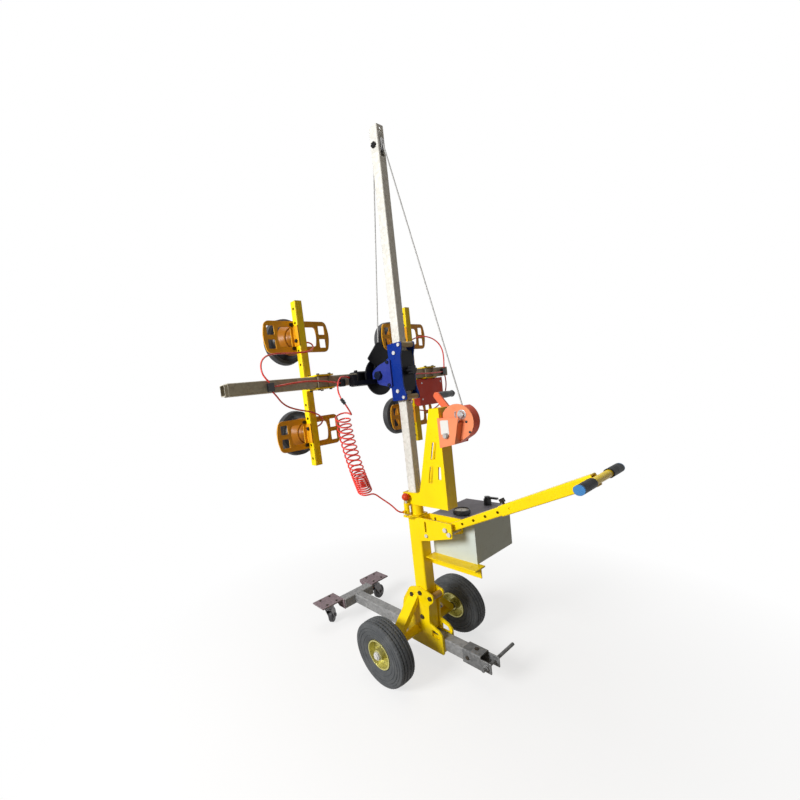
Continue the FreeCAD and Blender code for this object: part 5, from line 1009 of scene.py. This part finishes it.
GAUGE_PLACE = Vector((0.096, -0.145, 0.657))
GAUGE_RADIUS = 0.032
BEZEL = [(-0.016, 0.0002), (-0.016, 0.0014), (-0.004, 0.0018), (0.0006, 0.0008), (0.0012, -0.0008),
         (0.0008, -0.0034), (-0.0012, -0.0046), (-0.0036, -0.0046)]
DIAL_DEPTH = 0.0038
DIAL_THICK = 0.0004
DIAL = [(0.0, 0.0005), (0.0, GAUGE_RADIUS - 0.0046), (DIAL_THICK, GAUGE_RADIUS - 0.005),
        (DIAL_THICK, 0.0005)]
DIAL_TICKS = 11
DIAL_SWEEP = math.radians(270.0)
DIAL_START = math.radians(-45.0)
TICK_REACH = 0.0245
TICK_LENGTH = 0.004
LONG_TICK = 0.006
LONG_TICK_EVERY = 5
TICK_WIDTH = 0.0011
TICK_THICK = 0.0003
TICK_CORNER = 0.0004
NEEDLE = [(0.0, 0.0009), (0.005, 0.0011), (0.023, 0.0003)]
NEEDLE_TURN = math.radians(205.0)
NEEDLE_HEIGHT = 0.0018
NEEDLE_TAIL = 0.005
DIAL_HUB = [(0.0, 0.0026), (0.0022, 0.0026), (0.003, 0.0014)]
UP = (0, 0, 1)
BACK = (0, -1, 0)


def make_gauge():
    """A rolled bezel, a pale dial with plain ticks, and a needle."""
    profile = [(distance, GAUGE_RADIUS + extra) for distance, extra in BEZEL]
    bezel = lathe("gauge_bezel", profile, GAUGE_PLACE, UP, sides=64, ring=True)
    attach(finish_piece(bezel, "plastic"), "base")
    face_z = GAUGE_PLACE.z - DIAL_DEPTH
    middle = (GAUGE_PLACE.x, GAUGE_PLACE.y, face_z)
    face = lathe("gauge_dial", DIAL, middle, UP, sides=48)
    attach(finish_piece(face, "dial"), "base")
    for index in range(DIAL_TICKS):
        angle = DIAL_SWEEP * index / (DIAL_TICKS - 1) + DIAL_START
        out = Vector((math.cos(angle), math.sin(angle), 0.0))
        length = LONG_TICK if index % LONG_TICK_EVERY == 0 else TICK_LENGTH
        place = GAUGE_PLACE + out * (TICK_REACH - length / 2)
        place.z = face_z + DIAL_THICK
        across = Vector((-out.y, out.x, 0.0))
        tick = rounded_sheet("gauge_tick_%d" % index, place, across, -out, (TICK_WIDTH, length), TICK_THICK,
                             TICK_CORNER)
        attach(finish_piece(tick, "plastic"), "base")
    way = Vector((math.cos(NEEDLE_TURN), math.sin(NEEDLE_TURN), 0.0))
    start = Vector((GAUGE_PLACE.x, GAUGE_PLACE.y, face_z + NEEDLE_HEIGHT)) - way * NEEDLE_TAIL
    needle = lathe("gauge_needle", NEEDLE, start, way, sides=10)
    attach(finish_piece(needle, "plastic"), "base")
    foot = (GAUGE_PLACE.x, GAUGE_PLACE.y, face_z + DIAL_THICK)
    boss = lathe("gauge_hub", DIAL_HUB, foot, UP, sides=20)
    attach(finish_piece(boss, "zinc"), "base")


HUB_BEAD_RADIUS = 0.046
HUB_BEAD_Y = 0.2983
HUB_BEAD = [(-0.0015, 0.003), (0.003, 0.003), (0.0046, 0.0012), (0.005, -0.0012), (0.003, -0.003),
            (-0.0015, -0.002)]


def make_hub_beads():
    """The raised bead round the hub of each cup's dish."""
    profile = [(distance, HUB_BEAD_RADIUS + extra) for distance, extra in HUB_BEAD]
    for name, arm in ARMS:
        for level, side in LEVELS:
            place = (arm, HUB_BEAD_Y, HEAD_Z + side * CUP_OFFSET)
            ring = lathe("hub_bead_%s_%s" % (name, level), profile, place, BACK, sides=64, ring=True)
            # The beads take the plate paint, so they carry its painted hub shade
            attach(finish_piece(ring, "plates_" + name), "arm_" + name)


WINCH_BOLT = (-0.012, -0.258, 1.048)
WINCH_SCREWS = [(-0.012, -0.274, 1.022), (-0.012, -0.284, 0.985)]
WASHER = [(-0.0002, 0.0112), (-0.0002, 0.0175), (0.0014, 0.0175), (0.002, 0.0168), (0.002, 0.0112)]
SCREW_HEAD = [(-0.0003, 0.0046), (0.0016, 0.0046), (0.0028, 0.0034), (0.003, 0.0008)]
LUG_RADIUS = 0.026
LUG_HALF = 0.0026
LUG_OUT = 0.001
LUG_TURNS = range(60, 157, 12)
LUG_STEP = 0.002
LUG_SIDES = 10
OUT_LEFT = (-1, 0, 0)


def make_winch_hardware():
    """The washer under the casing bolt, the curved lug beside it and small screws."""
    ring = lathe("winch_washer", WASHER, WINCH_BOLT, OUT_LEFT, sides=40, ring=True)
    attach(finish_piece(ring, "zinc"), "mast")
    for index, place in enumerate(WINCH_SCREWS):
        screw = lathe("winch_screw_%d" % index, SCREW_HEAD, place, OUT_LEFT, sides=16)
        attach(finish_piece(screw, "plastic"), "mast")
    lug = []
    for turn in LUG_TURNS:
        angle = math.radians(turn)
        lug.append(Vector((WINCH_BOLT[0] - LUG_OUT, WINCH_BOLT[1] + LUG_RADIUS * math.sin(angle),
                           WINCH_BOLT[2] + LUG_RADIUS * math.cos(angle))))
    arc = swept_tube("winch_lug", evenly(lug, LUG_STEP), LUG_SIDES, lambda index, angle: LUG_HALF)
    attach(finish_piece(arc, "zinc"), "mast")


LABEL_PLACE = (-0.0421, -0.2045, 1.0075)
LABEL_SIZE = (0.034, 0.052)
LABEL_THICK = 0.0008
LABEL_CORNER = 0.003


def make_winch_label():
    """The blank plate on the winch's side."""
    sheet = rounded_sheet("winch_plate_blank", LABEL_PLACE, BACK, UP, LABEL_SIZE, LABEL_THICK, LABEL_CORNER)
    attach(finish_piece(sheet, "label"), "mast")


BOX_RIVETS = [(0.316, 1.187), (0.312, 1.108), (0.462, 1.187), (0.462, 1.108)]
BOX_REAR = 0.162
RIVET_DOME = [(-0.0003, 0.0042), (0.0008, 0.0042), (0.002, 0.0034), (0.0027, 0.002), (0.003, 0.0006)]


def make_rivets():
    """Domed rivets on the rear of the sheet box under the right arm."""
    for index, (x, z) in enumerate(BOX_RIVETS):
        rivet = lathe("box_rivet_%d" % index, RIVET_DOME, (x, BOX_REAR, z), BACK, sides=20)
        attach(finish_piece(rivet, "zinc"), "arm_right")


VALVE_REACH = 0.0455
VALVE_FOOT = 0.003
VALVE_STEM = [(-0.0005, 0.005), (0.004, 0.0048), (0.010, 0.0034), (0.020, 0.0032), (0.0202, 0.004),
              (0.027, 0.004), (0.028, 0.003)]
VALVE_TURN_LEFT = math.radians(112.0)
VALVE_TURN_RIGHT = math.radians(250.0)


def make_tyre_valves():
    """A rubber valve stem with a cap, in each rim's dish."""
    for side, name, turn in ((-1, "left", VALVE_TURN_LEFT), (1, "right", VALVE_TURN_RIGHT)):
        out = Vector((0.0, math.cos(turn), math.sin(turn)))
        place = Vector((side * (HALF_TRACK + VALVE_FOOT), AXLE_Y, TYRE_RADIUS)) + out * VALVE_REACH
        valve = lathe("tyre_valve_" + name, VALVE_STEM, place, (side, 0, 0), sides=20)
        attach(finish_piece(valve, "plastic"), "wheel_" + name)


# Weld beads

BEAD_STEP = 0.0016
BEAD_RADIUS = 0.0024
BEAD_SIDES = 8
RIPPLE_EVERY = 3
RIPPLE_SHARE = 0.72


def bead(name, points, body, material, slot):
    """A rippled weld bead along a line of points."""
    path = evenly([Vector(p) for p in points], BEAD_STEP)

    def ripple(index, angle):
        return BEAD_RADIUS * (1.0 if index % RIPPLE_EVERY else RIPPLE_SHARE)

    piece = finish_piece(swept_tube(name, path, BEAD_SIDES, ripple), material)
    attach(piece, body)


def circle(centre, radius, steps=48):
    """Points round an axis along X, from the top and back to it."""
    points = []
    for index in range(steps + 1):
        angle = 2 * math.pi * index / steps
        y = centre[1] + radius * math.sin(angle)
        points.append((centre[0], y, centre[2] + radius * math.cos(angle)))
    return points


CHEEK_FACE = 0.038
AXLE_WELD_RADIUS = 0.0172
LEG_HALF = 0.025
LEG_TOP = 0.132
LEG_WELD_DROP = (0.005, 0.045)
LEG_WELD_HALF = 0.021
CROSSBAR_REAR = 0.459
STRUT_WELD_Y = (0.013, 0.027)
STRUT_HEAD = (0.262, 0.292)
ARM_REAR = 0.231
CLAMP_TOP = 0.0285
CLAMP_WELD_HALF = 0.015


def make_welds():
    """Beads on the axle tubes, the struts, the leg's joint and the arms' clamps."""
    yellow = ("yellow", "yellow_paint")
    zinc = ("zinc_tube", "galvanised")
    for side, name, arm in ((-1, "left", ARM_LEFT), (1, "right", ARM_RIGHT)):
        x = side * CHEEK_FACE
        bead("weld_axle_" + name, circle((x, AXLE_Y, TYRE_RADIUS), AXLE_WELD_RADIUS), "base", *yellow)
        for level, z in zip(("low", "high"), STRUT_HEAD):
            bead("weld_strut_%s_%s" % (level, name), [(x, y, z) for y in STRUT_WELD_Y], "base", *yellow)
        down = [(side * LEG_HALF, CROSSBAR_REAR, LEG_TOP - drop) for drop in LEG_WELD_DROP]
        bead("weld_leg_" + name, down, "base", *zinc)
        for level, up in LEVELS:
            z = HEAD_Z + up * CLAMP_TOP
            across = [(arm - CLAMP_WELD_HALF, ARM_REAR, z), (arm + CLAMP_WELD_HALF, ARM_REAR, z)]
            bead("weld_clamp_%s_%s" % (level, name), across, "arm_" + name, *yellow)
    top = [(-LEG_WELD_HALF, CROSSBAR_REAR, LEG_TOP), (LEG_WELD_HALF, CROSSBAR_REAR, LEG_TOP)]
    bead("weld_leg_top", top, "base", *zinc)


# Stage

FLOOR_SIZE = 40.0
FLOOR_WHITE = (0.9, 0.9, 0.9, 1.0)
FLOOR_BOUNCE = (0.34, 0.30, 0.25, 1.0)
GLOW_START = 0.6
GLOW_END = 1.6
GLOW_LEAST = 0.72
FILL_COLOUR = (1.0, 0.84, 0.63, 1.0)
FILL_STRENGTH = 0.145
WHITE = (1.0, 1.0, 1.0, 1.0)
LAMPS = [("key", (-4.0, 0.4, 2.5), 1.4, 216.0), ("top", (0.3, 0.6, 4.4), 2.4, 42.0)]
LAMP_AIM = Vector((0.0, 0.0, 1.0))


def seen_rays(tree):
    """1 for rays from the camera, straight or by way of a shine or a clear piece, and 0 for others."""
    rays = tree.nodes.new("ShaderNodeLightPath")
    seen = rays.outputs["Is Camera Ray"]
    for ray in ("Is Glossy Ray", "Is Transmission Ray"):
        either = tree.nodes.new("ShaderNodeMath")
        either.operation = "MAXIMUM"
        tree.links.new(seen, either.inputs[0])
        tree.links.new(rays.outputs[ray], either.inputs[1])
        seen = either.outputs[0]
    return seen


def mixed(tree, share, first, second):
    """Two shaders mixed by a share."""
    node = tree.nodes.new("ShaderNodeMixShader")
    for socket, source in zip(node.inputs, (share, first, second)):
        tree.links.new(source, socket)
    return node.outputs[0]


def make_stage():
    """A white floor that glows evenly away from the part and returns a warm, dim light."""
    bpy.ops.mesh.primitive_plane_add(size=FLOOR_SIZE, location=(0.0, 0.0, 0.0))
    floor = bpy.context.object
    floor.name = "floor"
    n = Nodes("floor")
    n.set("Base Color", FLOOR_WHITE)
    n.set("Roughness", 0.9)
    n.set("Specular IOR Level", 0.1)
    dim = n.add("ShaderNodeBsdfDiffuse")
    dim.inputs["Color"].default_value = FLOOR_BOUNCE
    glow = n.add("ShaderNodeEmission")
    far = n.add("ShaderNodeVectorMath", operation="LENGTH")
    n.link(n.place, far.inputs[0])
    share = n.spread(far.outputs["Value"], GLOW_START, GLOW_END, GLOW_LEAST, 1.0)
    bounced = n.add("ShaderNodeLightPath").outputs["Is Diffuse Ray"]
    body = mixed(n.tree, bounced, n.shader.outputs[0], dim.outputs[0])
    seen = n.times(share, seen_rays(n.tree))
    n.link(mixed(n.tree, seen, body, glow.outputs[0]), n.tree.nodes["Material Output"].inputs["Surface"])
    floor.data.materials.append(n.material)


def make_light():
    """A white backdrop, a warm fill and two lamps."""
    world = bpy.data.worlds.new("world")
    scene.world = world
    world.use_nodes = True
    tree = world.node_tree
    soft = tree.nodes["Background"]
    soft.inputs["Color"].default_value = FILL_COLOUR
    soft.inputs["Strength"].default_value = FILL_STRENGTH
    white = tree.nodes.new("ShaderNodeBackground")
    white.inputs["Strength"].default_value = 1.0
    white.inputs["Color"].default_value = WHITE
    backdrop = mixed(tree, seen_rays(tree), soft.outputs[0], white.outputs[0])
    tree.links.new(backdrop, tree.nodes["World Output"].inputs["Surface"])
    for name, place, size, power in LAMPS:
        data = bpy.data.lights.new(name, "AREA")
        data.energy = power
        data.size = size
        lamp = place_object(name, data)
        lamp.location = place
        aim = LAMP_AIM - Vector(place)
        lamp.rotation_euler = aim.to_track_quat("-Z", "Y").to_euler()


make_camera()
make_materials()
dress_nodes()
make_hoses()
make_rope()
make_tyre(-1, "left")
make_tyre(1, "right")
make_gauge()
make_hub_beads()
make_winch_hardware()
make_winch_label()
make_rivets()
make_tyre_valves()
make_welds()
make_stage()
make_light()
